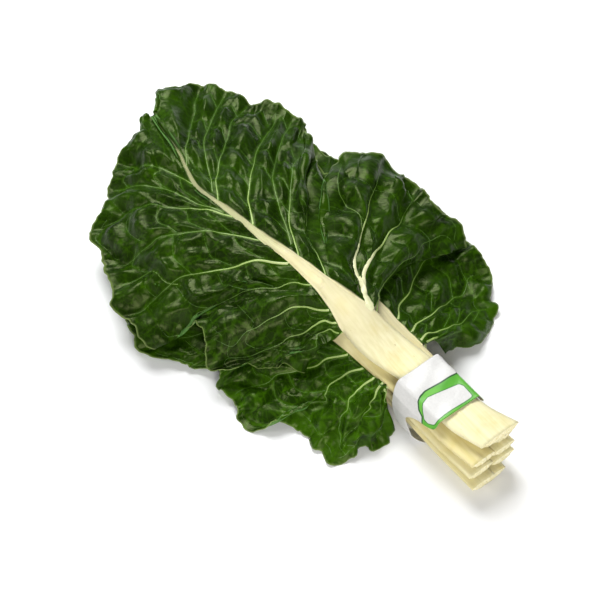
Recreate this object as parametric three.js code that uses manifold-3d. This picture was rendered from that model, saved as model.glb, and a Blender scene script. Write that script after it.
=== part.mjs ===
// A bunch of green chard lying on its side: eight leaves, each one piece from the cut end of its
// stalk to its tip, held together by a paper label tie round the stalks.
//
// Millimetres. +X runs along the bunch to the cut ends of the stalks, +Y is the side away from the
// label's long edge, +Z is up. The origin is on the surface the bunch lies on, under the middle of
// the tie. "Near" is the -Y side and "far" is the +Y side.
import * as THREE from 'three';
import Module from 'manifold-3d';

const wasm = await Module();
wasm.setup();

// ---- driving dimensions ----------------------------------------------------------------------

const BLADE_THICKNESS = 1.2;      // leaf blade, measured upright
const STALK_EDGE = 3.0;           // thickness of a stalk along its two edges
const RIB_COLUMNS = [-1, -0.55, 0, 0.55, 1];   // across a stalk, as parts of its half width
const BLADE_COLUMNS = 4;          // across half a blade
const LONGEST_ROW_GAP = 24;       // rows along a leaf are no further apart than this

// Where the stalks stop lying in the bundle and the leaves start to follow the heap.
const BUNDLE_ENDS_AT = -30;
const HEAP_STARTS_AT = -90;
// The stalks lie straight under the label, between these two ends.
const STRAIGHT_FROM = 28;
const STRAIGHT_TO = -28;

// The heap of blades: its ridge, and how fast it falls away on either side of the ridge.
const RIDGE_HEIGHT = [[60, 46], [0, 48], [-40, 54], [-64, 58], [-94, 62], [-140, 66], [-180, 68],
  [-210, 67], [-250, 62], [-290, 55], [-345, 45], [-380, 40]];
const RIDGE_Y = [[60, 0], [-28, -1], [-64, -9], [-94, -13], [-140, -19], [-169, -25], [-222, -31],
  [-248, -34], [-289, -23], [-345, -12], [-380, -5]];
const NEAR_SPREAD = [[60, 22], [0, 22], [-50, 31], [-100, 40], [-140, 60], [-200, 80],
  [-270, 90], [-345, 80], [-380, 80]];
const FAR_SPREAD = [[60, 22], [0, 22], [-50, 40], [-100, 65], [-140, 120], [-200, 155],
  [-345, 160], [-380, 160]];
const FOOT_SHARE = 0.25;          // the part of the ridge height that is left far from the ridge

// Each leaf: its level in the heap (1 is the top), the stalk in the bundle, the line of its
// midrib, and its two half blades. A half blade is a list of side veins: where each leaves the
// midrib (x), where it ends at the margin (x, y), how far it bows forwards as a part of its
// length, and the height of the margin where that isn't the heap's own.
const LEAVES = [
  {
    name: 'top_leaf', level: 1, colour: 0x2f5c17,
    stalkTop: 46,
    depth: [[60, 9], [-28, 8.6], [-60, 8], [-90, 7], [-130, 6], [-170, 4.5], [-230, 3],
      [-345, 1.5]],
    width: [[60, 36], [28, 34], [0, 32], [-28, 31], [-55, 34], [-80, 30], [-100, 22], [-130, 14],
      [-160, 9.5], [-190, 6.5], [-240, 4], [-300, 2.5], [-345, 1.6]],
    end: 54, tip: -341,
    line: [[54, 10], [28, 2], [-28, -1], [-64, -9], [-94, -13], [-140, -19], [-169, -25],
      [-222, -31], [-248, -34], [-289, -23], [-341, -12]],
    near: [[-80, -85, -60, 0], [-90, -104, -79, 0.05], [-96, -126, -106, 0.08],
      [-106, -146, -104, 0.08], [-122, -166, -103, 0.1], [-134, -182, -131, 0.1],
      [-148, -208, -137, 0.1], [-168, -234, -127, 0.1], [-192, -273, -116, 0.1],
      [-242, -313, -76, 0.1], [-285, -334, -41, 0.08], [-318, -343, -25, 0], [-341, -347, -15, 0]],
    far: [[-80, -104, 118, 0.22], [-86, -122, 122, 0.16], [-90, -146, 114, 0.12],
      [-94, -176, 114, 0.06], [-100, -194, 104, 0.04], [-108, -211, 86, 0.02],
      [-122, -215, 60, 0.04], [-142, -254, 76, 0.06], [-163, -272, 88, 0.08],
      [-190, -290, 78, 0.08], [-240, -322, 64, 0.08], [-285, -356, 44, 0.06],
      [-315, -364, 20, 0.04], [-332, -362, 4, 0], [-341, -350, -7, 0]],
  },
  {
    name: 'near_side_leaf', level: 0.878, colour: 0x2a5416,
    stalkTop: 36,
    depth: [[60, 8], [-28, 8], [-60, 7], [-92, 6], [-150, 4.5], [-230, 2.6], [-310, 1.4]],
    width: [[60, 22], [-28, 21], [-60, 20], [-92, 14], [-130, 9], [-200, 5], [-310, 1.6]],
    end: 58, tip: -300,
    line: [[58, -8], [28, -11.5], [-28, -12], [-60, -17], [-100, -28], [-160, -36], [-230, -40],
      [-300, -44]],
    near: [[-34, -14, -31, 0, 4], [-38, -10, -45, 0, 3], [-43, -16, -69, 0, 3],
      [-49, -32, -80, 0, 3], [-56, -57, -84, 0, 3], [-64, -78, -106, 0.04, 3],
      [-76, -111, -111, 0.06, 3], [-95, -130, -104, 0.08, 8], [-120, -162, -92, 0.1],
      [-160, -205, -95, 0.1], [-205, -250, -85, 0.1], [-245, -286, -66, 0.06],
      [-280, -303, -52, 0], [-300, -304, -47, 0]],
    far: [[-92, -104, 10, 0.1], [-104, -135, 45, 0.1], [-120, -170, 62, 0.1],
      [-160, -215, 60, 0.1], [-210, -262, 45, 0.1], [-260, -298, 5, 0.06],
      [-288, -306, -28, 0], [-300, -304, -41, 0]],
  },
  {
    name: 'far_side_leaf', level: 0.756, colour: 0x2c5717,
    stalkTop: 36,
    depth: [[60, 8], [-28, 8], [-60, 7], [-95, 6], [-150, 4.5], [-230, 2.6], [-320, 1.4]],
    width: [[60, 20], [-28, 20], [-60, 19], [-95, 13], [-130, 9], [-200, 5], [-320, 1.6]],
    end: 52, tip: -318,
    line: [[52, 16], [28, 11.5], [-28, 12], [-60, 13], [-100, 14], [-160, 12], [-240, 10],
      [-318, 12]],
    near: [[-95, -105, -25, 0.1], [-108, -135, -62, 0.1], [-130, -180, -84, 0.1],
      [-170, -225, -84, 0.1], [-220, -275, -62, 0.08], [-270, -312, -26, 0.05],
      [-318, -323, 8, 0]],
    far: [[-44, -40, 44, 0, 12], [-50, -38, 78, 0.04, 5], [-58, -54, 106, 0.08, 5],
      [-68, -84, 122, 0.1, 8], [-82, -120, 126, 0.12], [-100, -160, 112, 0.1],
      [-130, -205, 92, 0.1], [-170, -250, 74, 0.1], [-220, -295, 55, 0.08],
      [-270, -325, 38, 0.05], [-300, -330, 24, 0], [-318, -323, 16, 0]],
  },
  {
    name: 'lower_leaf_1', level: 0.634, colour: 0x254c14,
    stalkTop: 27,
    depth: [[60, 8], [-28, 8], [-60, 6.6], [-100, 5.6], [-160, 4], [-300, 1.4]],
    width: [[60, 23], [-28, 22], [-60, 19], [-100, 12], [-150, 7], [-220, 4], [-300, 1.6]],
    end: 60, tip: -292,
    line: [[60, -11], [28, -12.5], [-28, -13], [-60, -18], [-100, -30], [-160, -42], [-230, -52],
      [-292, -58]],
    near: [[-72, -70, -45, 0], [-80, -92, -68, 0.05], [-92, -125, -92, 0.08, 7],
      [-108, -160, -122, 0.1, 5], [-128, -195, -134, 0.1, 5], [-160, -232, -122, 0.1, 10],
      [-200, -268, -102, 0.1], [-250, -296, -80, 0.05], [-292, -297, -62, 0]],
    far: [[-100, -112, 5, 0.1], [-115, -150, 36, 0.1], [-150, -200, 46, 0.1],
      [-200, -250, 28, 0.08], [-250, -288, -12, 0.05], [-292, -298, -54, 0]],
  },
  {
    name: 'lower_leaf_2', level: 0.512, colour: 0x274f15,
    stalkTop: 27,
    depth: [[60, 8], [-28, 8], [-60, 6.6], [-100, 5.6], [-160, 4], [-310, 1.4]],
    width: [[60, 22], [-28, 21], [-60, 18], [-100, 12], [-150, 7], [-220, 4], [-310, 1.6]],
    end: 56, tip: -300,
    line: [[56, 14], [28, 12], [-28, 12.5], [-60, 16], [-100, 24], [-160, 32], [-230, 38],
      [-300, 42]],
    near: [[-102, -118, -12, 0.1], [-120, -160, -46, 0.1], [-160, -215, -56, 0.1],
      [-215, -268, -36, 0.08], [-265, -305, 6, 0.05], [-300, -306, 37, 0]],
    far: [[-74, -75, 58, 0], [-84, -100, 90, 0.06], [-98, -140, 107, 0.1],
      [-125, -185, 103, 0.1], [-165, -235, 88, 0.1], [-215, -280, 74, 0.08],
      [-265, -308, 68, 0.04], [-300, -305, 47, 0]],
  },
  {
    name: 'lower_leaf_3', level: 0.39, colour: 0x234913,
    stalkTop: 18,
    depth: [[70, 8], [-28, 8], [-60, 6.4], [-100, 5.4], [-160, 4], [-290, 1.4]],
    width: [[70, 22], [-28, 21], [-60, 18], [-100, 12], [-150, 7], [-220, 4], [-290, 1.6]],
    end: 65, tip: -276,
    line: [[65, -12], [28, -12.5], [-28, -13], [-60, -20], [-100, -34], [-160, -50], [-220, -62],
      [-276, -72]],
    near: [[-78, -84, -50, 0], [-90, -112, -74, 0.06], [-110, -148, -90, 0.1],
      [-145, -200, -98, 0.1], [-190, -248, -90, 0.08], [-240, -276, -84, 0.04],
      [-276, -281, -77, 0]],
    far: [[-104, -120, 0, 0.1], [-125, -165, 24, 0.1], [-170, -220, 18, 0.08],
      [-225, -265, -22, 0.05], [-276, -282, -68, 0]],
  },
  {
    name: 'lower_leaf_4', level: 0.268, colour: 0x254c14,
    stalkTop: 18,
    depth: [[60, 8], [-28, 8], [-60, 6], [-92, 4.8], [-160, 3.8], [-300, 1.4]],
    width: [[60, 22], [-28, 21], [-60, 18], [-100, 12], [-150, 7], [-220, 4], [-300, 1.6]],
    end: 58, tip: -286,
    line: [[58, 13], [28, 12.5], [-28, 13], [-60, 20], [-100, 32], [-160, 48], [-220, 60],
      [-286, 70]],
    near: [[-106, -122, -4, 0.1], [-130, -175, -28, 0.1], [-180, -230, -20, 0.08],
      [-235, -275, 16, 0.05], [-286, -292, 65, 0]],
    far: [[-80, -86, 64, 0], [-92, -118, 94, 0.06], [-115, -165, 100, 0.1],
      [-155, -215, 92, 0.1], [-205, -258, 84, 0.08], [-250, -286, 78, 0.04],
      [-286, -291, 75, 0]],
  },
  {
    name: 'lower_leaf_5', level: 0.146, colour: 0x214512,
    stalkTop: 9.2,
    depth: [[70, 7.8], [-28, 7.8], [-60, 6.6], [-100, 5.6], [-160, 4], [-270, 1.4]],
    width: [[70, 28], [-28, 27], [-60, 22], [-100, 13], [-150, 7], [-220, 4], [-270, 1.6]],
    end: 62, tip: -262,
    line: [[62, -1], [28, 0], [-28, 0], [-60, 0], [-140, 2], [-262, 4]],
    near: [[-84, -90, -46, 0.04], [-100, -135, -80, 0.1], [-140, -190, -88, 0.1],
      [-190, -235, -74, 0.08], [-235, -262, -40, 0.04], [-262, -268, -1, 0]],
    far: [[-84, -92, 48, 0.04], [-100, -138, 80, 0.1], [-140, -192, 90, 0.1],
      [-190, -238, 78, 0.08], [-235, -264, 44, 0.04], [-262, -268, 9, 0]],
  },
];

// The tie: a strip of paper that widens into a label over the top and the near side.
const TIE_CORNERS = [[-17, 0], [-26.5, 11], [-26.5, 28], [-24.6, 38], [-18.6, 47.6], [19, 47.6],
  [24, 38], [26, 28], [26, 11], [17, 0]];
const TIE_CORNER_RADIUS = 3.5;
const TIE_CORNER_STEPS = 3;
const TIE_STEP = 4;               // the longest step round the tie
const TIE_THICKNESS = 0.7;
const STRIP_HALF = 7.5;           // half the width of the plain strip
const STRIP_SLANT = -13;          // how far along the stalks the strip leaves the label
const LABEL_HALF = 25;            // half the width of the label
const LABEL_NEAR_END = { y: -25, z: 38 };
const LABEL_FAR_END = { y: 25, z: 33 };
const LABEL_TAPER = 7;            // the length over which the strip widens into the label
const SLANT_LENGTH = 30;          // the length over which the strip comes back to the middle
// The two ends of the strip are twisted together on the far side.
const TAIL_START = new THREE.Vector3(2, 26, 23);
const TAIL_END = new THREE.Vector3(27, 29.5, 16);
const TAIL_WIDTH = 5;
const TAIL_THICKNESS = 1.8;
const TAIL_TURNS = 1.5;
const TAIL_STEPS = 18;

// ---- curves ----------------------------------------------------------------------------------

// A smooth curve through [x, value] pairs whose x falls or rises steadily.
function along(pairs, x, column = 1) {
  const rising = pairs[0][0] < pairs[pairs.length - 1][0];
  const list = rising ? pairs : [...pairs].reverse();
  const last = list.length - 1;
  if (x <= list[0][0]) return list[0][column];
  if (x >= list[last][0]) return list[last][column];
  let i = 0;
  while (list[i + 1][0] < x) i += 1;
  const slope = (a, b) => (list[b][column] - list[a][column]) / (list[b][0] - list[a][0]);
  const width = list[i + 1][0] - list[i][0];
  const before = i > 0 ? slope(i - 1, i + 1) : slope(i, i + 1);
  const after = i + 1 < last ? slope(i, i + 2) : slope(i, i + 1);
  const t = (x - list[i][0]) / width;
  const rest = 1 - t;
  return list[i][column] * (1 + 2 * t) * rest * rest + before * width * t * rest * rest
    + list[i + 1][column] * (3 - 2 * t) * t * t - after * width * rest * t * t;
}

const smooth = (from, to, x) => THREE.MathUtils.smoothstep((x - from) / (to - from), 0, 1);

// Height of the top of the heap of blades over a point of the surface it lies on.
function heapHeight(x, y) {
  const away = y - along(RIDGE_Y, x);
  const spread = along(away < 0 ? NEAR_SPREAD : FAR_SPREAD, x);
  const share = FOOT_SHARE + (1 - FOOT_SHARE) * Math.exp(-((away / spread) ** 2));
  return along(RIDGE_HEIGHT, x) * share;
}

// ---- a leaf ----------------------------------------------------------------------------------

// Height of a leaf's upper face: its place in the bundle at one end, its share of the heap at
// the other.
function leafHeight(leaf, x, y) {
  const heaped = smooth(BUNDLE_ENDS_AT, HEAP_STARTS_AT, x);
  return (1 - heaped) * leaf.stalkTop + heaped * leaf.level * heapHeight(x, y);
}

// Upper and lower point of the stalk or midrib, a part of its half width off its centre line.
function ribPoint(leaf, x, part) {
  const y = along(leaf.line, x) + (part * along(leaf.width, x)) / 2;
  const top = leafHeight(leaf, x, y);
  const edge = THREE.MathUtils.lerp(STALK_EDGE, BLADE_THICKNESS,
    smooth(BUNDLE_ENDS_AT, HEAP_STARTS_AT, x));
  const depth = Math.max(along(leaf.depth, x), edge);
  const under = edge + (depth - edge) * Math.sqrt(1 - part * part);
  return [new THREE.Vector3(x, y, top), new THREE.Vector3(x, y, top - under)];
}

// Upper and lower point of a half blade, at a part of the way along the side vein that leaves
// the midrib at x.
function bladePoint(leaf, veins, side, x, part) {
  const start = ribPoint(leaf, x, side)[0];
  const end = new THREE.Vector3(along(veins, x, 1), along(veins, x, 2), 0);
  const reach = new THREE.Vector2(end.x - start.x, end.y - start.y);
  const bow = along(veins, x, 3);
  const forwards = new THREE.Vector2(-side * reach.y, side * reach.x).multiplyScalar(bow);
  const arch = 2 * part * (1 - part);
  const px = THREE.MathUtils.lerp(start.x, end.x, part) + forwards.x * arch;
  const py = THREE.MathUtils.lerp(start.y, end.y, part) + forwards.y * arch;
  const own = leafHeight(leaf, end.x, end.y);
  const heights = veins.map((vein) => [vein[0], vein[4] ?? leafHeight(leaf, vein[1], vein[2])]);
  const droop = (along(heights, x) - own) * part ** 2.5;
  const pz = leafHeight(leaf, px, py) + droop;
  return [new THREE.Vector3(px, py, pz), new THREE.Vector3(px, py, pz - BLADE_THICKNESS)];
}

// Rows across the leaf: at the ends of the straight stalk, and at every side vein.
function rowsOf(leaf) {
  const veins = [...leaf.near, ...leaf.far].map((vein) => vein[0]);
  const marks = [leaf.end, STRAIGHT_FROM, 0, STRAIGHT_TO, -45, -60, ...veins];
  const sorted = [...new Set(marks)].sort((a, b) => b - a);
  const rows = [sorted[0]];
  for (const mark of sorted.slice(1)) {
    const before = rows[rows.length - 1];
    const parts = mark > STRAIGHT_TO ? 1 : Math.ceil((before - mark) / LONGEST_ROW_GAP);
    for (let i = 1; i <= parts; i += 1) rows.push(before + ((mark - before) * i) / parts);
  }
  return rows;
}

function leafGeometry(leaf) {
  const rows = rowsOf(leaf);
  const positions = [];
  const grid = rows.map(() => new Map());
  const place = (row, column, pair) => {
    grid[row].set(column, positions.length);
    positions.push(...pair);
  };
  const halfRib = (RIB_COLUMNS.length - 1) / 2;
  rows.forEach((x, row) => {
    RIB_COLUMNS.forEach((part, i) => place(row, i - halfRib, ribPoint(leaf, x, part)));
    for (const [side, veins] of [[-1, leaf.near], [1, leaf.far]]) {
      if (x > veins[0][0]) continue;
      for (let k = 1; k <= BLADE_COLUMNS; k += 1) {
        place(row, side * (halfRib + k), bladePoint(leaf, veins, side, x, k / BLADE_COLUMNS));
      }
    }
  });
  return closedSheet(grid, positions);
}

// A closed body from a grid of pairs of points: upper faces, lower faces, and a rim between them.
function closedSheet(grid, positions) {
  const index = [];
  const rims = new Map();
  const face = (a, b, c) => {
    index.push(a, b, c);
    index.push(c + 1, b + 1, a + 1);
    for (const [from, to] of [[a, b], [b, c], [c, a]]) {
      if (!rims.delete(`${to},${from}`)) rims.set(`${from},${to}`, [from, to]);
    }
  };
  for (let row = 0; row + 1 < grid.length; row += 1) {
    for (const [column, a] of grid[row]) {
      const b = grid[row].get(column + 1);
      const c = grid[row + 1].get(column + 1);
      const d = grid[row + 1].get(column);
      if (b === undefined || c === undefined || d === undefined) continue;
      face(a, b, c);
      face(a, c, d);
    }
  }
  for (const [from, to] of rims.values()) {
    index.push(from, from + 1, to + 1);
    index.push(from, to + 1, to);
  }
  const geometry = new THREE.BufferGeometry();
  const numbers = positions.flatMap((p) => [p.x, p.y, p.z]);
  geometry.setAttribute('position', new THREE.Float32BufferAttribute(numbers, 3));
  geometry.setIndex(index);
  geometry.computeVertexNormals();
  return geometry;
}

// ---- the tie ---------------------------------------------------------------------------------

// A convex outline with its corners rounded: points and outward normals.
function roundedOutline(corners, radius, steps) {
  const outline = [];
  corners.forEach((corner, i) => {
    const at = new THREE.Vector2(...corner);
    const previous = new THREE.Vector2(...corners[(i + corners.length - 1) % corners.length]);
    const next = new THREE.Vector2(...corners[(i + 1) % corners.length]);
    const back = previous.sub(at).normalize();
    const ahead = next.sub(at).normalize();
    const half = Math.acos(back.dot(ahead)) / 2;
    const inwards = back.clone().add(ahead).normalize();
    const centre = at.clone().addScaledVector(inwards, radius / Math.sin(half));
    const sweep = Math.PI - 2 * half;
    const middle = Math.atan2(-inwards.y, -inwards.x);
    for (let k = 0; k <= steps; k += 1) {
      const angle = middle + sweep * (0.5 - k / steps);
      const normal = new THREE.Vector2(Math.cos(angle), Math.sin(angle));
      outline.push({ point: centre.clone().addScaledVector(normal, radius), normal });
    }
  });
  return outline;
}

// The two edges of the tie (x) at a distance round it. The label lies between from and to.
function tieEdges(distance, from, to) {
  const label = smooth(-LABEL_TAPER, 0, Math.min(distance - from, to - distance));
  const slant = STRIP_SLANT * smooth(from - SLANT_LENGTH, from - LABEL_TAPER, distance);
  const middle = distance < (from + to) / 2 ? slant * (1 - label) : 0;
  const half = THREE.MathUtils.lerp(STRIP_HALF, LABEL_HALF, label);
  return [middle - half, middle + half];
}

function tieGeometry() {
  const outline = roundedOutline(TIE_CORNERS, TIE_CORNER_RADIUS, TIE_CORNER_STEPS);
  const stops = [];
  outline.forEach((stop, i) => {
    const before = outline[i - 1];
    const gap = before ? stop.point.distanceTo(before.point) : 0;
    const parts = Math.max(1, Math.ceil(gap / TIE_STEP));
    for (let k = 1; k <= parts; k += 1) {
      const point = before ? before.point.clone().lerp(stop.point, k / parts) : stop.point;
      stops.push({ point, normal: k < parts ? before.normal : stop.normal });
    }
  });
  const around = [0];
  for (let i = 1; i < stops.length; i += 1) {
    around.push(around[i - 1] + stops[i].point.distanceTo(stops[i - 1].point));
  }
  const nearest = ({ y, z }) => {
    const gaps = stops.map(({ point }) => Math.hypot(point.x - y, point.y - z));
    return around[gaps.indexOf(Math.min(...gaps))];
  };
  const from = nearest(LABEL_NEAR_END);
  const to = nearest(LABEL_FAR_END);
  const rings = stops.map(({ point, normal }, i) => {
    const [low, high] = tieEdges(around[i], from, to);
    const inner = point.clone().addScaledVector(normal, -TIE_THICKNESS);
    return [new THREE.Vector3(low, point.x, point.y), new THREE.Vector3(high, point.x, point.y),
      new THREE.Vector3(high, inner.x, inner.y), new THREE.Vector3(low, inner.x, inner.y)];
  });
  return ribbon(rings, true);
}

// The twisted ends: a flat bar that turns about its own line.
function tailGeometry() {
  const line = TAIL_END.clone().sub(TAIL_START);
  const ahead = line.clone().normalize();
  const flat = new THREE.Vector3(0, 0, 1).cross(ahead).normalize();
  const upright = ahead.clone().cross(flat);
  const rings = [];
  for (let i = 0; i <= TAIL_STEPS; i += 1) {
    const centre = TAIL_START.clone().addScaledVector(line, i / TAIL_STEPS);
    const turn = (i / TAIL_STEPS) * TAIL_TURNS * 2 * Math.PI;
    const wide = flat.clone().multiplyScalar(Math.sin(turn)).addScaledVector(upright, Math.cos(turn));
    const thick = ahead.clone().cross(wide);
    rings.push([[1, 1], [-1, 1], [-1, -1], [1, -1]].map(([a, b]) => centre.clone()
      .addScaledVector(wide, (a * TAIL_WIDTH) / 2)
      .addScaledVector(thick, (b * TAIL_THICKNESS) / 2)));
  }
  return ribbon(rings, false);
}

// Skin over a row of four-cornered sections, closed into a ring or capped at its two ends.
function ribbon(rings, closed) {
  const numbers = rings.flat().flatMap((p) => [p.x, p.y, p.z]);
  const index = [];
  const count = closed ? rings.length : rings.length - 1;
  for (let i = 0; i < count; i += 1) {
    const next = (i + 1) % rings.length;
    for (let k = 0; k < 4; k += 1) {
      const a = i * 4 + k;
      const b = i * 4 + ((k + 1) % 4);
      const c = next * 4 + ((k + 1) % 4);
      const d = next * 4 + k;
      index.push(a, b, c, a, c, d);
    }
  }
  if (!closed) {
    const last = (rings.length - 1) * 4;
    index.push(0, 2, 1, 0, 3, 2);
    index.push(last, last + 1, last + 2, last, last + 2, last + 3);
  }
  return { numbers: new Float32Array(numbers), index: new Uint32Array(index) };
}

function solid({ numbers, index }) {
  return new wasm.Manifold(new wasm.Mesh({ numProp: 3, vertProperties: numbers, triVerts: index }));
}

function geometryOf(manifold) {
  const mesh = manifold.getMesh();
  const geometry = new THREE.BufferGeometry();
  geometry.setAttribute('position', new THREE.BufferAttribute(mesh.vertProperties, 3));
  geometry.setIndex(new THREE.BufferAttribute(mesh.triVerts, 1));
  geometry.computeVertexNormals();
  return geometry;
}

// ---- the bunch -------------------------------------------------------------------------------

function named(name, geometry, colour, roughness) {
  const material = new THREE.MeshStandardMaterial({ color: colour, roughness, metalness: 0 });
  const mesh = new THREE.Mesh(geometry, material);
  mesh.name = name;
  return mesh;
}

const bunch = new THREE.Group();
for (const leaf of LEAVES) bunch.add(named(leaf.name, leafGeometry(leaf), leaf.colour, 0.4));
const tie = solid(tieGeometry()).add(solid(tailGeometry()));
bunch.add(named('label_tie', geometryOf(tie), 0xf2f2ee, 0.6));

export default bunch;
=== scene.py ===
"""A bunch of green chard lying on a pale floor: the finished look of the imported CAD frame.

Lengths are in millimetres while a shape is worked out, and in metres once it is a Blender mesh.
+X runs along the bunch to the cut ends of the stalks, +Z is up, and the origin is on the floor
under the tie. "Near" is the -Y side and "far" is the +Y side, as in the CAD part.

A leaf is worked out as a grid. Its rows cross the midrib. Its columns run along it: those of the
near half blade, then of the stalk and midrib, then of the far half blade. Points are missing
(nan) where the stalk has no blade beside it. A part is how far out a point of a half blade lies:
0 at the midrib and 1 at the margin.
"""

import math

import bpy
import numpy as np
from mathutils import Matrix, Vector, kdtree


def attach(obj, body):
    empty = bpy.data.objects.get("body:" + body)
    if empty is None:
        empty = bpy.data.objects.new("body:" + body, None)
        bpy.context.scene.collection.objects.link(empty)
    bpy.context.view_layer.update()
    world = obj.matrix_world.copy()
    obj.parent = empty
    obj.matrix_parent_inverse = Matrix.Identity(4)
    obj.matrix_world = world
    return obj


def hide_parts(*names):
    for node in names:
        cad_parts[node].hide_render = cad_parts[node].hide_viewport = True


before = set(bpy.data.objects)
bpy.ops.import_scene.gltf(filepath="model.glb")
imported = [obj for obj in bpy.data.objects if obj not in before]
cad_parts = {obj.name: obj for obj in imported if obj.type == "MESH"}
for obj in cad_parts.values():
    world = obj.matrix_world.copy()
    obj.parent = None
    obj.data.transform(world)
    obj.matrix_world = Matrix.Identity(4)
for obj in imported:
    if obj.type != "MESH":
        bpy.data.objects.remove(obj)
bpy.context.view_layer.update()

MM = 0.001
NEAR, FAR = SIDES = -1, 1

# ---- the heap of leaves, as in the CAD part ----------------------------------------------------

BUNDLE_ENDS_AT = -30
HEAP_STARTS_AT = -90
RIDGE_HEIGHT = [(60, 46), (0, 48), (-40, 54), (-64, 58), (-94, 62), (-140, 66), (-180, 68),
                (-210, 67), (-250, 62), (-290, 55), (-345, 45), (-380, 40)]
RIDGE_Y = [(60, 0), (-28, -1), (-64, -9), (-94, -13), (-140, -19), (-169, -25), (-222, -31),
           (-248, -34), (-289, -23), (-345, -12), (-380, -5)]
NEAR_SPREAD = [(60, 22), (0, 22), (-50, 31), (-100, 40), (-140, 60), (-200, 80),
               (-270, 90), (-345, 80), (-380, 80)]
FAR_SPREAD = [(60, 22), (0, 22), (-50, 40), (-100, 65), (-140, 120), (-200, 155),
              (-345, 160), (-380, 160)]
FOOT_SHARE = 0.25

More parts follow.
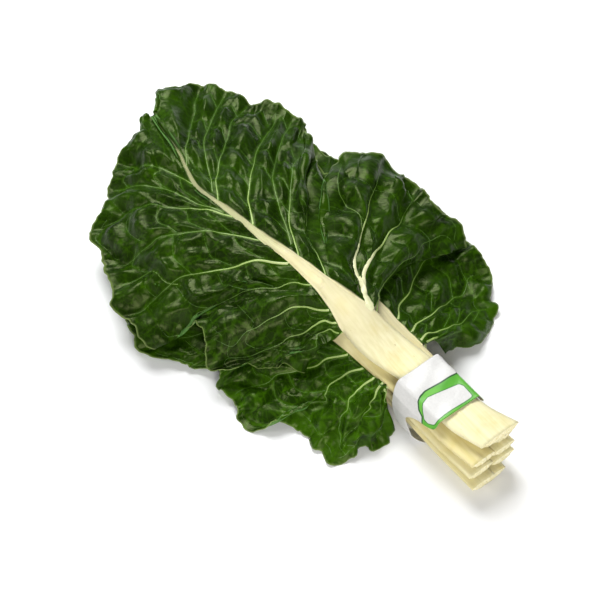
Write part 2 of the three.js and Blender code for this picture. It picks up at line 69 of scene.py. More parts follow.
# Each leaf, from the bottom of the heap up. level, stalk_top, depth, width, end, tip, line, near
# and far are the CAD part's: its place in the heap, its stalk, its midrib, and the side veins of
# its two half blades (x on the midrib, x and y at the margin, bow, height of the margin).
# rows and half_columns set how fine its mesh is, puff how much the blade swells between its
# veins, growth how much more blade there is than its place holds, wave how far its margin waves,
# tone how light its green is, ochre how stained its stalk is, and seed its random numbers.
# The top leaf, the most seen, also has these, placed by x on the midrib:
# folds: side, x, reach along the midrib and height of each fold across the blade
# notches: side, x, reach and depth of each notch in the margin
# veins: x and half width of the main side veins of each half
# trunks: side, xs and parts that a thick vein passes through, and its half width at either end
# roots: the x and the part where a main vein leaves its trunk, by the vein's own x
LEAVES = [
    dict(
        node="lower_leaf_5", level=0.146, stalk_top=9.2, end=62, tip=-262,
        depth=[(70, 7.8), (-28, 7.8), (-60, 6.6), (-100, 5.6), (-160, 4), (-270, 1.4)],
        width=[(70, 28), (-28, 27), (-60, 22), (-100, 13), (-150, 7), (-220, 4), (-270, 1.6)],
        line=[(62, -1), (28, 0), (-28, 0), (-60, 0), (-140, 2), (-262, 4)],
        near=[(-84, -90, -46, 0.04), (-100, -135, -80, 0.1), (-140, -190, -88, 0.1),
              (-190, -235, -74, 0.08), (-235, -262, -40, 0.04), (-262, -268, -1, 0)],
        far=[(-84, -92, 48, 0.04), (-100, -138, 80, 0.1), (-140, -192, 90, 0.1),
             (-190, -238, 78, 0.08), (-235, -264, 44, 0.04), (-262, -268, 9, 0)],
        rows=170, half_columns=38, puff=0.3, growth=0.08, wave=0.25, tone=0.35,
        seed=18,
    ),
    dict(
        node="lower_leaf_4", level=0.268, stalk_top=18, end=58, tip=-286,
        depth=[(60, 8), (-28, 8), (-60, 6), (-92, 4.8), (-160, 3.8), (-300, 1.4)],
        width=[(60, 22), (-28, 21), (-60, 18), (-100, 12), (-150, 7), (-220, 4), (-300, 1.6)],
        line=[(58, 13), (28, 12.5), (-28, 13), (-60, 20), (-100, 32), (-160, 48), (-220, 60),
              (-286, 70)],
        near=[(-106, -122, -4, 0.1), (-130, -175, -28, 0.1), (-180, -230, -20, 0.08),
              (-235, -275, 16, 0.05), (-286, -292, 65, 0)],
        far=[(-80, -86, 64, 0), (-92, -118, 94, 0.06), (-115, -165, 100, 0.1),
             (-155, -215, 92, 0.1), (-205, -258, 84, 0.08), (-250, -286, 78, 0.04),
             (-286, -291, 75, 0)],
        rows=180, half_columns=40, puff=0.35, growth=0.1, wave=0.4, tone=0.4, seed=17,
    ),
    dict(
        node="lower_leaf_3", level=0.39, stalk_top=18, end=65, tip=-276,
        depth=[(70, 8), (-28, 8), (-60, 6.4), (-100, 5.4), (-160, 4), (-290, 1.4)],
        width=[(70, 22), (-28, 21), (-60, 18), (-100, 12), (-150, 7), (-220, 4), (-290, 1.6)],
        line=[(65, -12), (28, -12.5), (-28, -13), (-60, -20), (-100, -34), (-160, -50),
              (-220, -62), (-276, -72)],
        near=[(-78, -84, -50, 0), (-90, -112, -74, 0.06), (-110, -148, -90, 0.1),
              (-145, -200, -98, 0.1), (-190, -248, -90, 0.08), (-240, -276, -84, 0.04),
              (-276, -281, -77, 0)],
        far=[(-104, -120, 0, 0.1), (-125, -165, 24, 0.1), (-170, -220, 18, 0.08),
             (-225, -265, -22, 0.05), (-276, -282, -68, 0)],
        rows=180, half_columns=40, puff=0.35, growth=0.1, wave=0.4, tone=0.35, seed=16,
    ),
    dict(
        node="lower_leaf_2", level=0.512, stalk_top=27, end=56, tip=-300,
        depth=[(60, 8), (-28, 8), (-60, 6.6), (-100, 5.6), (-160, 4), (-310, 1.4)],
        width=[(60, 22), (-28, 21), (-60, 18), (-100, 12), (-150, 7), (-220, 4), (-310, 1.6)],
        line=[(56, 14), (28, 12), (-28, 12.5), (-60, 16), (-100, 24), (-160, 32), (-230, 38),
              (-300, 42)],
        near=[(-102, -118, -12, 0.1), (-120, -160, -46, 0.1), (-160, -215, -56, 0.1),
              (-215, -268, -36, 0.08), (-265, -305, 6, 0.05), (-300, -306, 37, 0)],
        far=[(-74, -75, 58, 0), (-84, -100, 90, 0.06), (-98, -140, 107, 0.1),
             (-125, -185, 103, 0.1), (-165, -235, 88, 0.1), (-215, -280, 74, 0.08),
             (-265, -308, 68, 0.04), (-300, -305, 47, 0)],
        rows=190, half_columns=42, puff=0.4, growth=0.14, wave=0.5, tone=0.45, seed=15,
    ),
    dict(
        node="lower_leaf_1", level=0.634, stalk_top=27, end=60, tip=-292,
        depth=[(60, 8), (-28, 8), (-60, 6.6), (-100, 5.6), (-160, 4), (-300, 1.4)],
        width=[(60, 23), (-28, 22), (-60, 19), (-100, 12), (-150, 7), (-220, 4), (-300, 1.6)],
        line=[(60, -11), (28, -12.5), (-28, -13), (-60, -18), (-100, -30), (-160, -42),
              (-230, -52), (-292, -58)],
        near=[(-72, -70, -45, 0), (-80, -92, -68, 0.05), (-92, -125, -92, 0.08, 7),
              (-108, -160, -122, 0.1, 5), (-128, -195, -134, 0.1, 5),
              (-160, -232, -122, 0.1, 10), (-200, -268, -102, 0.1), (-250, -296, -80, 0.05),
              (-292, -297, -62, 0)],
        far=[(-100, -112, 5, 0.1), (-115, -150, 36, 0.1), (-150, -200, 46, 0.1),
             (-200, -250, 28, 0.08), (-250, -288, -12, 0.05), (-292, -298, -54, 0)],
        rows=200, half_columns=44, puff=0.65, growth=0.26, wave=0.9, tone=0.65, seed=14,
    ),
    dict(
        node="far_side_leaf", level=0.756, stalk_top=36, end=52, tip=-318,
        depth=[(60, 8), (-28, 8), (-60, 7), (-95, 6), (-150, 4.5), (-230, 2.6), (-320, 1.4)],
        width=[(60, 20), (-28, 20), (-60, 19), (-95, 13), (-130, 9), (-200, 5), (-320, 1.6)],
        line=[(52, 16), (28, 11.5), (-28, 12), (-60, 13), (-100, 14), (-160, 12), (-240, 10),
              (-318, 12)],
        near=[(-95, -105, -25, 0.1), (-108, -135, -62, 0.1), (-130, -180, -84, 0.1),
              (-170, -225, -84, 0.1), (-220, -275, -62, 0.08), (-270, -312, -26, 0.05),
              (-318, -323, 8, 0)],
        far=[(-44, -40, 44, 0, 12), (-50, -38, 78, 0.04, 5), (-58, -54, 106, 0.08, 5),
             (-68, -84, 122, 0.1, 8), (-82, -120, 126, 0.12), (-100, -160, 112, 0.1),
             (-130, -205, 92, 0.1), (-170, -250, 74, 0.1), (-220, -295, 55, 0.08),
             (-270, -325, 38, 0.05), (-300, -330, 24, 0), (-318, -323, 16, 0)],
        rows=240, half_columns=52, puff=0.7, growth=0.24, wave=0.8, tone=0.75, seed=13,
    ),
    dict(
        node="near_side_leaf", level=0.878, stalk_top=36, end=58, tip=-300,
        depth=[(60, 8), (-28, 8), (-60, 7), (-92, 6), (-150, 4.5), (-230, 2.6), (-310, 1.4)],
        width=[(60, 22), (-28, 21), (-60, 20), (-92, 14), (-130, 9), (-200, 5), (-310, 1.6)],
        line=[(58, -8), (28, -11.5), (-28, -12), (-60, -17), (-100, -28), (-160, -36),
              (-230, -40), (-300, -44)],
        near=[(-34, -14, -31, 0, 4), (-38, -10, -45, 0, 3), (-43, -16, -69, 0, 3),
              (-49, -32, -80, 0, 3), (-56, -57, -84, 0, 3), (-64, -78, -106, 0.04, 3),
              (-76, -111, -111, 0.06, 3), (-95, -130, -104, 0.08, 8), (-120, -162, -92, 0.1),
              (-160, -205, -95, 0.1), (-205, -250, -85, 0.1), (-245, -286, -66, 0.06),
              (-280, -303, -52, 0), (-300, -304, -47, 0)],
        far=[(-92, -104, 10, 0.1), (-104, -135, 45, 0.1), (-120, -170, 62, 0.1),
             (-160, -215, 60, 0.1), (-210, -262, 45, 0.1), (-260, -298, 5, 0.06),
             (-288, -306, -28, 0), (-300, -304, -41, 0)],
        rows=260, half_columns=54, puff=0.95, ochre=0.5, growth=0.34, wave=1.1, tone=0.95, seed=12,
    ),
    dict(
        node="top_leaf", level=1, stalk_top=46, end=54, tip=-341,
        depth=[(60, 9), (-28, 8.6), (-60, 8), (-90, 7), (-130, 6), (-170, 4.5), (-230, 3),
               (-345, 1.5)],
        width=[(60, 36), (28, 34), (0, 32), (-28, 31), (-55, 34), (-80, 30), (-100, 19),
               (-130, 12), (-160, 8), (-190, 5.2), (-240, 3.2), (-300, 2), (-345, 1.2)],
        line=[(54, 10), (28, 2), (-28, -1), (-64, -9), (-94, -13), (-140, -19), (-169, -25),
              (-222, -31), (-248, -34), (-289, -23), (-341, -12)],
        near=[(-80, -85, -60, 0), (-90, -104, -79, 0.05), (-96, -126, -106, 0.08),
              (-106, -146, -104, 0.08), (-122, -166, -103, 0.1), (-134, -182, -131, 0.1),
              (-148, -208, -137, 0.1), (-168, -234, -127, 0.1), (-192, -273, -116, 0.1),
              (-242, -313, -76, 0.1), (-285, -334, -41, 0.08), (-318, -343, -25, 0),
              (-341, -347, -15, 0)],
        far=[(-80, -104, 118, 0.22), (-86, -122, 122, 0.16), (-90, -146, 114, 0.12),
             (-94, -176, 114, 0.06), (-100, -194, 104, 0.04), (-108, -211, 86, 0.02),
             (-122, -215, 60, 0.04), (-142, -254, 76, 0.06), (-163, -272, 88, 0.08),
             (-190, -290, 78, 0.08), (-240, -322, 64, 0.08), (-285, -356, 44, 0.06),
             (-315, -364, 20, 0.04), (-332, -362, 4, 0), (-341, -350, -7, 0)],
        rows=262, half_columns=62, puff=1.0, ochre=0.05, growth=0.28,
        folds=[(FAR, -119, 7, -15), (FAR, -136, 9, 7), (FAR, -100, 7, 6),
               (NEAR, -128, 7, -9), (NEAR, -104, 15, 10),
               (FAR, -83, 6, 7)], wave=1.0, tone=0.6, seed=11,
        trunks=[(FAR, [-79, -83, -89, -93], [-0.06, 0, 0.06, 0.17], (4.8, 1.6))],
        roots={-91: (-89.5, 0.06), -98: (-89.5, 0.06)},
        notches=[(FAR, -118, 7, 10)],
        veins={
            NEAR: [(-85, 0.7), (-93, 0.95), (-103, 0.95), (-126, 0.6), (-150, 1.1), (-181, 0.6),
                   (-212, 0.7), (-262, 0.45)],
            FAR: [(-82, 0.6), (-91, 2.3), (-98, 2.1), (-127, 0.6), (-152, 0.7),
                  (-196, 0.8), (-234, 0.55), (-282, 0.4)],
        },
    ),
]

BLADE_THICKNESS = 0.55
STALK_EDGE = 3.0
LEAF_GAP = 0.35
FLOOR_GAP = 0.2


def along(pairs, x, column=1):
    """A smooth curve through the rows of a table whose first column falls or rises steadily."""
    rows = sorted(pairs)
    xs = np.array([row[0] for row in rows], float)
    ys = np.array([row[column] for row in rows], float)
    slopes = np.empty(len(xs))
    slopes[1:-1] = (ys[2:] - ys[:-2]) / (xs[2:] - xs[:-2])
    slopes[0] = (ys[1] - ys[0]) / (xs[1] - xs[0])
    slopes[-1] = (ys[-1] - ys[-2]) / (xs[-1] - xs[-2])
    x = np.clip(np.asarray(x, float), xs[0], xs[-1])
    i = np.clip(np.searchsorted(xs, x, side="right") - 1, 0, len(xs) - 2)
    width = xs[i + 1] - xs[i]
    t = (x - xs[i]) / width
    rest = 1 - t
    return (ys[i] * (1 + 2 * t) * rest**2 + slopes[i] * width * t * rest**2
            + ys[i + 1] * (3 - 2 * t) * t**2 - slopes[i + 1] * width * rest * t**2)


def smooth(start, end, x):
    """0 at start, 1 at end, with no corner at either."""
    t = np.clip((np.asarray(x, float) - start) / (end - start), 0, 1)
    return t * t * (3 - 2 * t)


def bell(x, middle, reach):
    """1 at the middle, and falling off smoothly within the reach."""
    return np.exp(-(((x - middle) / reach) ** 2))


def lengths(vectors):
    """Length of each vector of a grid or list."""
    return np.linalg.norm(vectors, axis=-1)


def unit(vectors):
    """The same vectors with length 1."""
    return vectors / np.maximum(lengths(vectors)[..., None], 1e-9)


def heap_height(x, y):
    """Height of the whole heap over a point of the floor."""
    away = y - along(RIDGE_Y, x)
    reach = np.where(away < 0, along(NEAR_SPREAD, x), along(FAR_SPREAD, x))
    share = FOOT_SHARE + (1 - FOOT_SHARE) * bell(away, 0, reach)
    return along(RIDGE_HEIGHT, x) * share


def leaf_height(leaf, x, y):
    """Height of a leaf's upper face over a point of the floor."""
    heaped = smooth(BUNDLE_ENDS_AT, HEAP_STARTS_AT, x)
    return (1 - heaped) * leaf["stalk_top"] + heaped * leaf["level"] * heap_height(x, y)


def waves(wavelengths, weights, rng):
    """A wavy function of one length: a sum of sines, of height about 1."""
    phases = rng.uniform(0, 2 * math.pi, len(wavelengths))

    def value(length):
        total = sum(w * np.sin(2 * math.pi * length / wl + p)
                    for wl, w, p in zip(wavelengths, weights, phases))
        return total / sum(weights)

    return value


def lumps(points, size, rng, count=14):
    """Smooth lumps of about one size at points in space, of height about 1."""
    total = 0
    for direction in unit(rng.normal(size=(count, 3))):
        k = 2 * math.pi / (size * rng.uniform(1.4, 3.0))
        total = total + np.sin(points @ (direction * k) + rng.uniform(0, 2 * math.pi))
    return total / math.sqrt(count)


# ---- a leaf's midrib and blade -----------------------------------------------------------------

RIB_COLUMNS = 13
STALK_ROW_STEP = 2.4
# Rows are spread evenly along these parts of the half blades, but never thinner than this share
# of that along the midrib.
EVEN_PARTS = (0.6, 1.0)
MIDRIB_SHARE = 0.35


def veins_of(leaf, side):
    """A half blade's side veins, as the CAD part has them."""
    return leaf["near"] if side == NEAR else leaf["far"]


def rib_points(leaf, x, part):
    """Points on top of the stalk and midrib, a part of its half width off its centre line."""
    y = along(leaf["line"], x) + part * along(leaf["width"], x) / 2
    return np.stack([np.broadcast_to(x, y.shape), y, leaf_height(leaf, x, y)], -1)


def blade_points(leaf, side, x, part):
    """Points a part of the way along the side veins that leave the midrib at x."""
    veins = veins_of(leaf, side)
    start = rib_points(leaf, x, side * np.ones_like(x))
    end_x, end_y = along(veins, x, 1), along(veins, x, 2)
    run_x, run_y = end_x - start[..., 0], end_y - start[..., 1]
    arch = 2 * part * (1 - part) * along(veins, x, 3)
    px = start[..., 0] + run_x * part - side * run_y * arch
    py = start[..., 1] + run_y * part + side * run_x * arch
    margins = [(v[0], v[4] if len(v) > 4 else float(leaf_height(leaf, v[1], v[2])))
               for v in veins]
    droop = (along(margins, x) - leaf_height(leaf, end_x, end_y)) * np.maximum(part, 0) ** 2.5
    return np.stack([px, py, leaf_height(leaf, px, py) + droop], -1)


def row_places(leaf):
    """Where the rows across the leaf cross the midrib."""
    first = max(veins_of(leaf, side)[0][0] for side in SIDES)
    stalk = np.arange(leaf["end"], first, -STALK_ROW_STEP)
    fine = np.linspace(first, leaf["tip"], 3000)
    speed = np.full(len(fine) - 1, MIDRIB_SHARE * abs(fine[1] - fine[0]))
    for side in SIDES:
        for part in EVEN_PARTS:
            points = blade_points(leaf, side, fine, np.full_like(fine, part))
            step = lengths(np.diff(points, axis=0))
            there = fine[1:] <= veins_of(leaf, side)[0][0]
            speed = np.maximum(speed, np.where(there, step, 0) * 0.9)
    run = np.concatenate([[0], np.cumsum(speed)])
    blade = np.interp(np.linspace(0, run[-1], leaf["rows"]), run, fine)
    return np.concatenate([stalk, blade])


def normals_of(points):
    """Upward vertex normals of a grid of points, some of which may be missing."""
    a, b, c, d = points[:-1, :-1], points[:-1, 1:], points[1:, 1:], points[1:, :-1]
    face = np.nan_to_num(np.cross(c - a, d - b))
    total = np.zeros_like(points)
    for corner in (total[:-1, :-1], total[:-1, 1:], total[1:, 1:], total[1:, :-1]):
        corner += face
    return unit(total)


# ---- the field of heights that leaves are stacked on -------------------------------------------

CELL = 2.0
FIELD_LOW = np.array([-400.0, -170.0])
FIELD_SHAPE = (245, 170)


def cells_of(points):
    """Field cells that points stand over, with missing points sent to the first cell."""
    where = np.nan_to_num((points[..., :2] - FIELD_LOW) / CELL).astype(int)
    return (np.clip(where[..., 0], 0, FIELD_SHAPE[0] - 1),
            np.clip(where[..., 1], 0, FIELD_SHAPE[1] - 1))


def average(near):
    """The mean of a few grids."""
    return sum(near) / len(near)


def spread(values, reach, take):
    """Passes values on to their neighbours in a grid, reach times, as take puts them together."""
    for _ in range(reach):
        padded = np.pad(values, 1, mode="edge")
        values = take([padded[1:-1, 1:-1], padded[:-2, 1:-1], padded[2:, 1:-1],
                       padded[1:-1, :-2], padded[1:-1, 2:]])
    return values


# ---- ruffles -----------------------------------------------------------------------------------

# A half blade is a net of springs between grid neighbours (rows down, columns across, stiffness).
SPRINGS = [(1, 0, 1), (0, 1, 1), (1, 1, 0.7), (1, -1, 0.7), (2, 0, 0.25), (0, 2, 0.25)]
SETTLE_TURNS = 320
GROWING_SHARE = 0.4
SPRING_STEP = 0.11
EASING = 0.3
HOLD_ACROSS = 0.03
HOLD_DOWN = 0.05
# It grows most along its margin, more where it leaves the stalk (x from, x to, how much more),
# and away from the midrib too (at the margin, and within a reach of its first row).
BASAL_GROWTH = (-150, -95, 0.5)
ACROSS_GROWTH = (0.3, 0.5, 14)
# The lumps that it starts to buckle from: height and size.
FIRST_LUMPS = [(4.0, 40), (1.2, 18)]


def pairs_of(grid, down, across):
    """Two views of a grid, one of them moved down and across it."""
    rows, columns = grid.shape[:2]
    left, right = max(0, -across), min(columns, columns - across)
    return (grid[:rows - down, left:right], grid[down:, left + across:right + across])


def cubic_weights(count, places):
    """Weights that read a smooth curve through count values at other places."""
    weights = np.zeros((len(places), count))
    for row, place in enumerate(places):
        i = min(int(place), count - 2)
        t = place - i
        for k, w in ((-1, -t * (1 - t) ** 2 / 2), (0, (2 - 5 * t**2 + 3 * t**3) / 2),
                     (1, (t + 4 * t**2 - 3 * t**3) / 2), (2, -(t**2) * (1 - t) / 2)):
            weights[row, min(max(i + k, 0), count - 1)] += w
    return weights


def thinned(count, wanted):
    """Every so many of count places, and the weights that read values for all of them again."""
    kept = np.unique(np.linspace(0, count - 1, wanted).round().astype(int))
    return kept, cubic_weights(len(kept), np.interp(np.arange(count), kept, np.arange(len(kept))))


def spring_lengths(leaf, base, part):
    """Lengths of a half blade's springs before and after it grows."""
    run = lengths(np.gradient(base[:, -1], axis=0))
    room = spread(np.clip(run / np.median(run), 0.1, 1)[:, None], 4, average)
    start, end, more = BASAL_GROWTH
    basal = (1 + more * smooth(start, end, base[:, :1, :1])) * room[..., None]
    at_margin, at_end, reach = ACROSS_GROWTH
    from_end = lengths(np.diff(base[:, :, :2], axis=0)).cumsum(axis=0)
    from_end = np.concatenate([0 * from_end[:1], from_end])[..., None]
    down_growth = 1 + leaf["growth"] * basal * part**1.3
    across_growth = 1 + leaf["growth"] * (at_margin * part + at_end * np.exp(-from_end / reach))
    down_step = np.gradient(base, axis=0) * (down_growth - 1)
    across_step = np.gradient(base, axis=1) * (across_growth - 1)
    found = []
    for down, across, _ in SPRINGS:
        a, b = pairs_of(base, down, across)
        more_down, _ = pairs_of(down_step, down, across)
        more_across, _ = pairs_of(across_step, down, across)
        found.append((lengths(b - a), lengths(b - a + down * more_down + across * more_across)))
    return found


def ruffle(leaf, points, field, rng):
    """Where a half blade goes when it grows more than its place in the heap gives it room for.

    The blade buckles into waves, tightest along the margin, and stays above what it lies on. Half
    of the grid's rows and columns are settled, and the others are read from them.
    """
    rows, columns = points.shape[:2]
    rows_in, by_row = thinned(rows, max(12, rows // 2))
    columns_in, by_column = thinned(columns, columns // 2 + 1)
    base = points[rows_in][:, columns_in].copy()
    part = np.broadcast_to((columns_in / (columns - 1))[None, :, None], base.shape[:2] + (1,))
    springs = spring_lengths(leaf, base, part)
    place = base.copy()
    noise = sum(height * lumps(base, size, rng) for height, size in FIRST_LUMPS)
    place[..., 2] += noise * part[..., 0] ** 0.7 + 1.5 * part[..., 0]
    hold = np.concatenate([HOLD_ACROSS + 0 * part] * 2
                          + [HOLD_DOWN * (1 - part) ** 2 + 0.002], axis=-1)
    ease = EASING * (1 - 0.4 * part)
    free = np.ones(base.shape[:2] + (1,))
    free[:, 0] = 0
    floor = np.minimum(field[cells_of(base)] + LEAF_GAP + BLADE_THICKNESS, base[..., 2])
    for turn in range(SETTLE_TURNS):
        grown = min(1, turn / (GROWING_SHARE * SETTLE_TURNS))
        move = np.zeros_like(place)
        for (down, across, stiffness), (start, end) in zip(SPRINGS, springs):
            a, b = pairs_of(place, down, across)
            gap = b - a
            length = lengths(gap)
            wanted = start + (end - start) * grown
            pull = gap * (stiffness * (length - wanted) / np.maximum(length, 1e-6))[..., None]
            to_a, to_b = pairs_of(move, down, across)
            to_a += pull
            to_b -= pull
        place += move * (free * SPRING_STEP)
        away = place - base
        padded = np.pad(away, ((1, 1), (1, 1), (0, 0)), mode="edge")
        mean = (padded[:-2, 1:-1] + padded[2:, 1:-1] + padded[1:-1, :-2] + padded[1:-1, 2:]) / 4
        place += ((mean - away) * ease - away * hold) * free
        place[..., 2] = np.maximum(place[..., 2], floor)
    away = place - base
    return points + np.einsum("ra,abk,cb->rck", by_row, away, by_column, optimize=True)


# ---- veins -------------------------------------------------------------------------------------

VEIN_STEP = 1.3
MAIN_SPACING = 32
MAIN_ENDS_AT = 0.95
FINE_HALF_WIDTH = 0.18
# A main vein forks where the next one is this far off, and smaller veins cross wider gaps.
FORK_GAP = 42
CROSSED_GAP = 9
CROSSING_SPACING = (15, 28)
CROSSING_LEFT_OUT = 0.12


def main_veins(leaf, side):
    """The main side veins of a half blade: x on the midrib, and half the width there."""
    if "veins" in leaf:
        return leaf["veins"][side]
    marks = np.array([v[0] for v in veins_of(leaf, side)], float)
    count = max(4, int(abs(marks[-1] - marks[0]) / MAIN_SPACING) + 2)
    places = np.linspace(0, len(marks) - 1.4, count) + 0.25
    return [(float(np.interp(p, np.arange(len(marks)), marks)), 1.15 - 0.65 * i / count)
            for i, p in enumerate(places)]


def vein_lines(leaf, side, rng):
    """Lines of a half blade's veins: their places on the blade, points and half widths."""
    mains = main_veins(leaf, side)
    lines = []

    def line(xs, parts, start, end, main, taper=1.0):
        marks = np.arange(len(xs))
        rough = blade_points(leaf, side, np.asarray(xs, float), np.asarray(parts, float))
        length = lengths(np.diff(rough, axis=0)).sum()
        at = np.linspace(0, len(xs) - 1, max(4, int(length / VEIN_STEP) + 1))
        x = along(list(zip(marks, xs)), at)
        part = along(list(zip(marks, parts)), at)
        widths = end + (start - end) * (1 - at / at[-1]) ** taper
        lines.append(dict(side=side, x=x, part=part, width=widths, main=main,
                          points=blade_points(leaf, side, x, part)))

    for trunk_side, xs, parts, widths in leaf.get("trunks", []):
        if trunk_side == side:
            line(xs, parts, widths[0], widths[1], True)
    for x, width in mains:
        root, start = leaf.get("roots", {}).get(x, (x + 6, -0.008))
        parts = np.linspace(start, MAIN_ENDS_AT, 30)
        wander = waves([0.9, 0.45, 0.2], [1, 0.5, 0.2], rng)(parts) * 6 * (parts - start)
        wander *= 0.35 if width > 1.5 else 1
        line(root + (x - root) * smooth(start, start + 0.2, parts) + wander, parts,
             width, FINE_HALF_WIDTH, True, taper=1.7)
    for (x0, _), (x1, _) in zip(mains[:-1], mains[1:]):
        trial = np.linspace(0.1, 1, 10)
        low = blade_points(leaf, side, np.full(10, float(x0)), trial)
        high = blade_points(leaf, side, np.full(10, float(x1)), trial)
        gaps = lengths(high - low)
        wide = trial[gaps > FORK_GAP]
        middle = None
        if len(wide) and wide[0] < 0.8:
            fork = wide[0] - 0.06
            middle = x0 + (x1 - x0) * rng.uniform(0.42, 0.58)
            steps = np.linspace(0, 1, 8)
            line(x0 + (middle - x0) * smooth(0, 0.5, steps),
                 fork + (MAIN_ENDS_AT - fork) * steps, 0.4, FINE_HALF_WIDTH, True)
        length = np.linalg.norm(high[-1] - high[0])
        part = rng.uniform(0.08, 0.16)
        while part < 0.93:
            if float(np.interp(part, trial, gaps)) > CROSSED_GAP:
                ends = [x0, x1] if middle is None or part < fork + 0.1 else [x0, middle, x1]
                for e0, e1 in zip(ends[:-1], ends[1:]):
                    if rng.random() < CROSSING_LEFT_OUT:
                        continue
                    bend = rng.uniform(0.3, 0.7)
                    rise = rng.uniform(3, 9) / length
                    xs = [e0, e0 + (e1 - e0) * bend * 0.6, e0 + (e1 - e0) * bend, e1]
                    ts = [part, part + rise * 0.7, part + rise, part + rise * rng.uniform(0, 1)]
                    line(xs, np.minimum(ts, 0.97), 0.2, 0.13, False)
            part += rng.uniform(*CROSSING_SPACING) / length
    return lines


def nearest(points, targets, count=1):
    """Distances from points to the nearest targets, and the index of the very nearest."""
    tree = kdtree.KDTree(len(targets))
    for i, target in enumerate(targets):
        tree.insert(target, i)
    tree.balance()
    shape = points.shape[:-1]
    distances = np.full((count, int(np.prod(shape))), 9e3)
    index = np.zeros(int(np.prod(shape)), int)
    for i, point in enumerate(points.reshape(-1, 3)):
        if not math.isnan(point[0]):
            for k, (_, at, distance) in enumerate(tree.find_n(point, count)):
                distances[k, i] = distance
                if k == 0:
                    index[i] = at
    return distances.reshape((count, *shape)), index.reshape(shape)


# ---- one leaf ----------------------------------------------------------------------------------

# The margin: wavelengths and weights of its scallops and of its crimps, the scallops' height,
# how far the far margin is along the same waves, and over what length the waves set in.
SCALLOPS = ([61, 37, 23], [1, 0.7, 0.2])
SCALLOP_HEIGHT = 4.5
CRIMPS = ([16, 10.5, 7], [1, 0.8, 0.5])
CRIMP_RELIEF = 1.6
FAR_MARGIN_AT = 700
WAVES_SET_IN = 40
# The blade swells between its main veins, between all its veins, and in small cells: height of
# each swelling, and how far from the vein it is nearly whole.
SWELLINGS = [(7.0, 11), (5.5, 6.5), (0.35, 1.6)]
SWELL_SINK = 5.0
# And it is uneven: height and size of its lumps.
BLADE_LUMPS = [(2.0, 16), (0.1, 6)]
# The small cells: their spacing, how uneven it is, and the floor that they cover.
BLADE_CELL = 9.0
CELL_SHIFT = 4
CELLS_ALONG, CELLS_ACROSS = (-380, 70), (-150, 140)
# The stalk's fine ridges: wavelengths, as parts of its half width, and weights.
RIDGES = ([0.62, 0.37, 0.23], [1, 0.8, 0.4])
RIDGE_RELIEF = 0.45
RIB_CROWN = 1.4


def half_blade(leaf, side, xs, field, rng, crimp_rng):
    """A half blade out from the midrib: as drawn, ruffled, its parts, and its margin's crimps."""
    parts = np.arange(1, leaf["half_columns"] + 1) / leaf["half_columns"]
    grid_x = np.repeat(xs[:, None], len(parts), 1)
    part = np.broadcast_to(parts, grid_x.shape)
    points = blade_points(leaf, side, grid_x, part)
    run = np.concatenate([[0], lengths(np.diff(points[:, -1], axis=0)).cumsum()])
    run += 0 if side == NEAR else FAR_MARGIN_AT
    scallop = waves(*SCALLOPS, rng)(run) * SCALLOP_HEIGHT * leaf["wave"]
    for notch_side, x, reach, depth in leaf.get("notches", []):
        if notch_side == side:
            scallop = scallop - depth * bell(xs, x, reach)
    crimp = waves(*CRIMPS, crimp_rng)(run) * leaf["wave"]
    outwards = unit(points[:, -1] - points[:, 0])
    stretch = (scallop[:, None] * parts**3 + crimp[:, None] * parts**9)[..., None]
    set_in = smooth(0, WAVES_SET_IN, run % FAR_MARGIN_AT)[:, None, None]
    points = points + outwards[:, None, :] * stretch * set_in
    for fold_side, x, reach, height in leaf.get("folds", []):
        if fold_side == side:
            points[..., 2] += height * bell(xs[:, None], x, reach) * smooth(0.05, 0.45, parts)
    edge = rib_points(leaf, xs[:, None], np.full((len(xs), 1), float(side)))
    whole = ruffle(leaf, np.concatenate([edge, points], axis=1), field, rng)
    return points, whole[:, 1:], part, np.roll(crimp, 3)[:, None] * parts**7


def vein_distances(leaf, lines, base):
    """Distances to the main veins and to all veins, and the half width of the nearest vein."""
    points = [line["points"] for line in lines if line["main"]]
    widths = [line["width"] for line in lines if line["main"]]
    for side in SIDES:
        places = np.arange(veins_of(leaf, side)[0][0], leaf["tip"], -1.0)
        points.append(rib_points(leaf, places, np.full(len(places), side)))
        widths.append(0 * places)
    to_main, at = nearest(base, np.concatenate(points))
    to_main = np.maximum(0, to_main[0] - np.concatenate(widths)[at])
    to_vein, at = nearest(base, np.concatenate([line["points"] for line in lines]))
    width = np.concatenate([line["width"] for line in lines])[at]
    return to_main, np.maximum(0, to_vein[0] - width), width


def cell_distances(leaf, base, rng):
    """Distances to the edges of small uneven cells, which the blade swells in."""
    seeds = []
    for x in np.arange(*CELLS_ALONG, BLADE_CELL):
        for y in np.arange(*CELLS_ACROSS, BLADE_CELL):
            seeds.append((x + rng.uniform(-CELL_SHIFT, CELL_SHIFT),
                          y + rng.uniform(-CELL_SHIFT, CELL_SHIFT)))
    seeds = np.array(seeds)
    seeds = np.column_stack([seeds, leaf_height(leaf, seeds[:, 0], seeds[:, 1])])
    pair, _ = nearest(base, seeds, 2)
    return (pair[1] - pair[0]) / 2


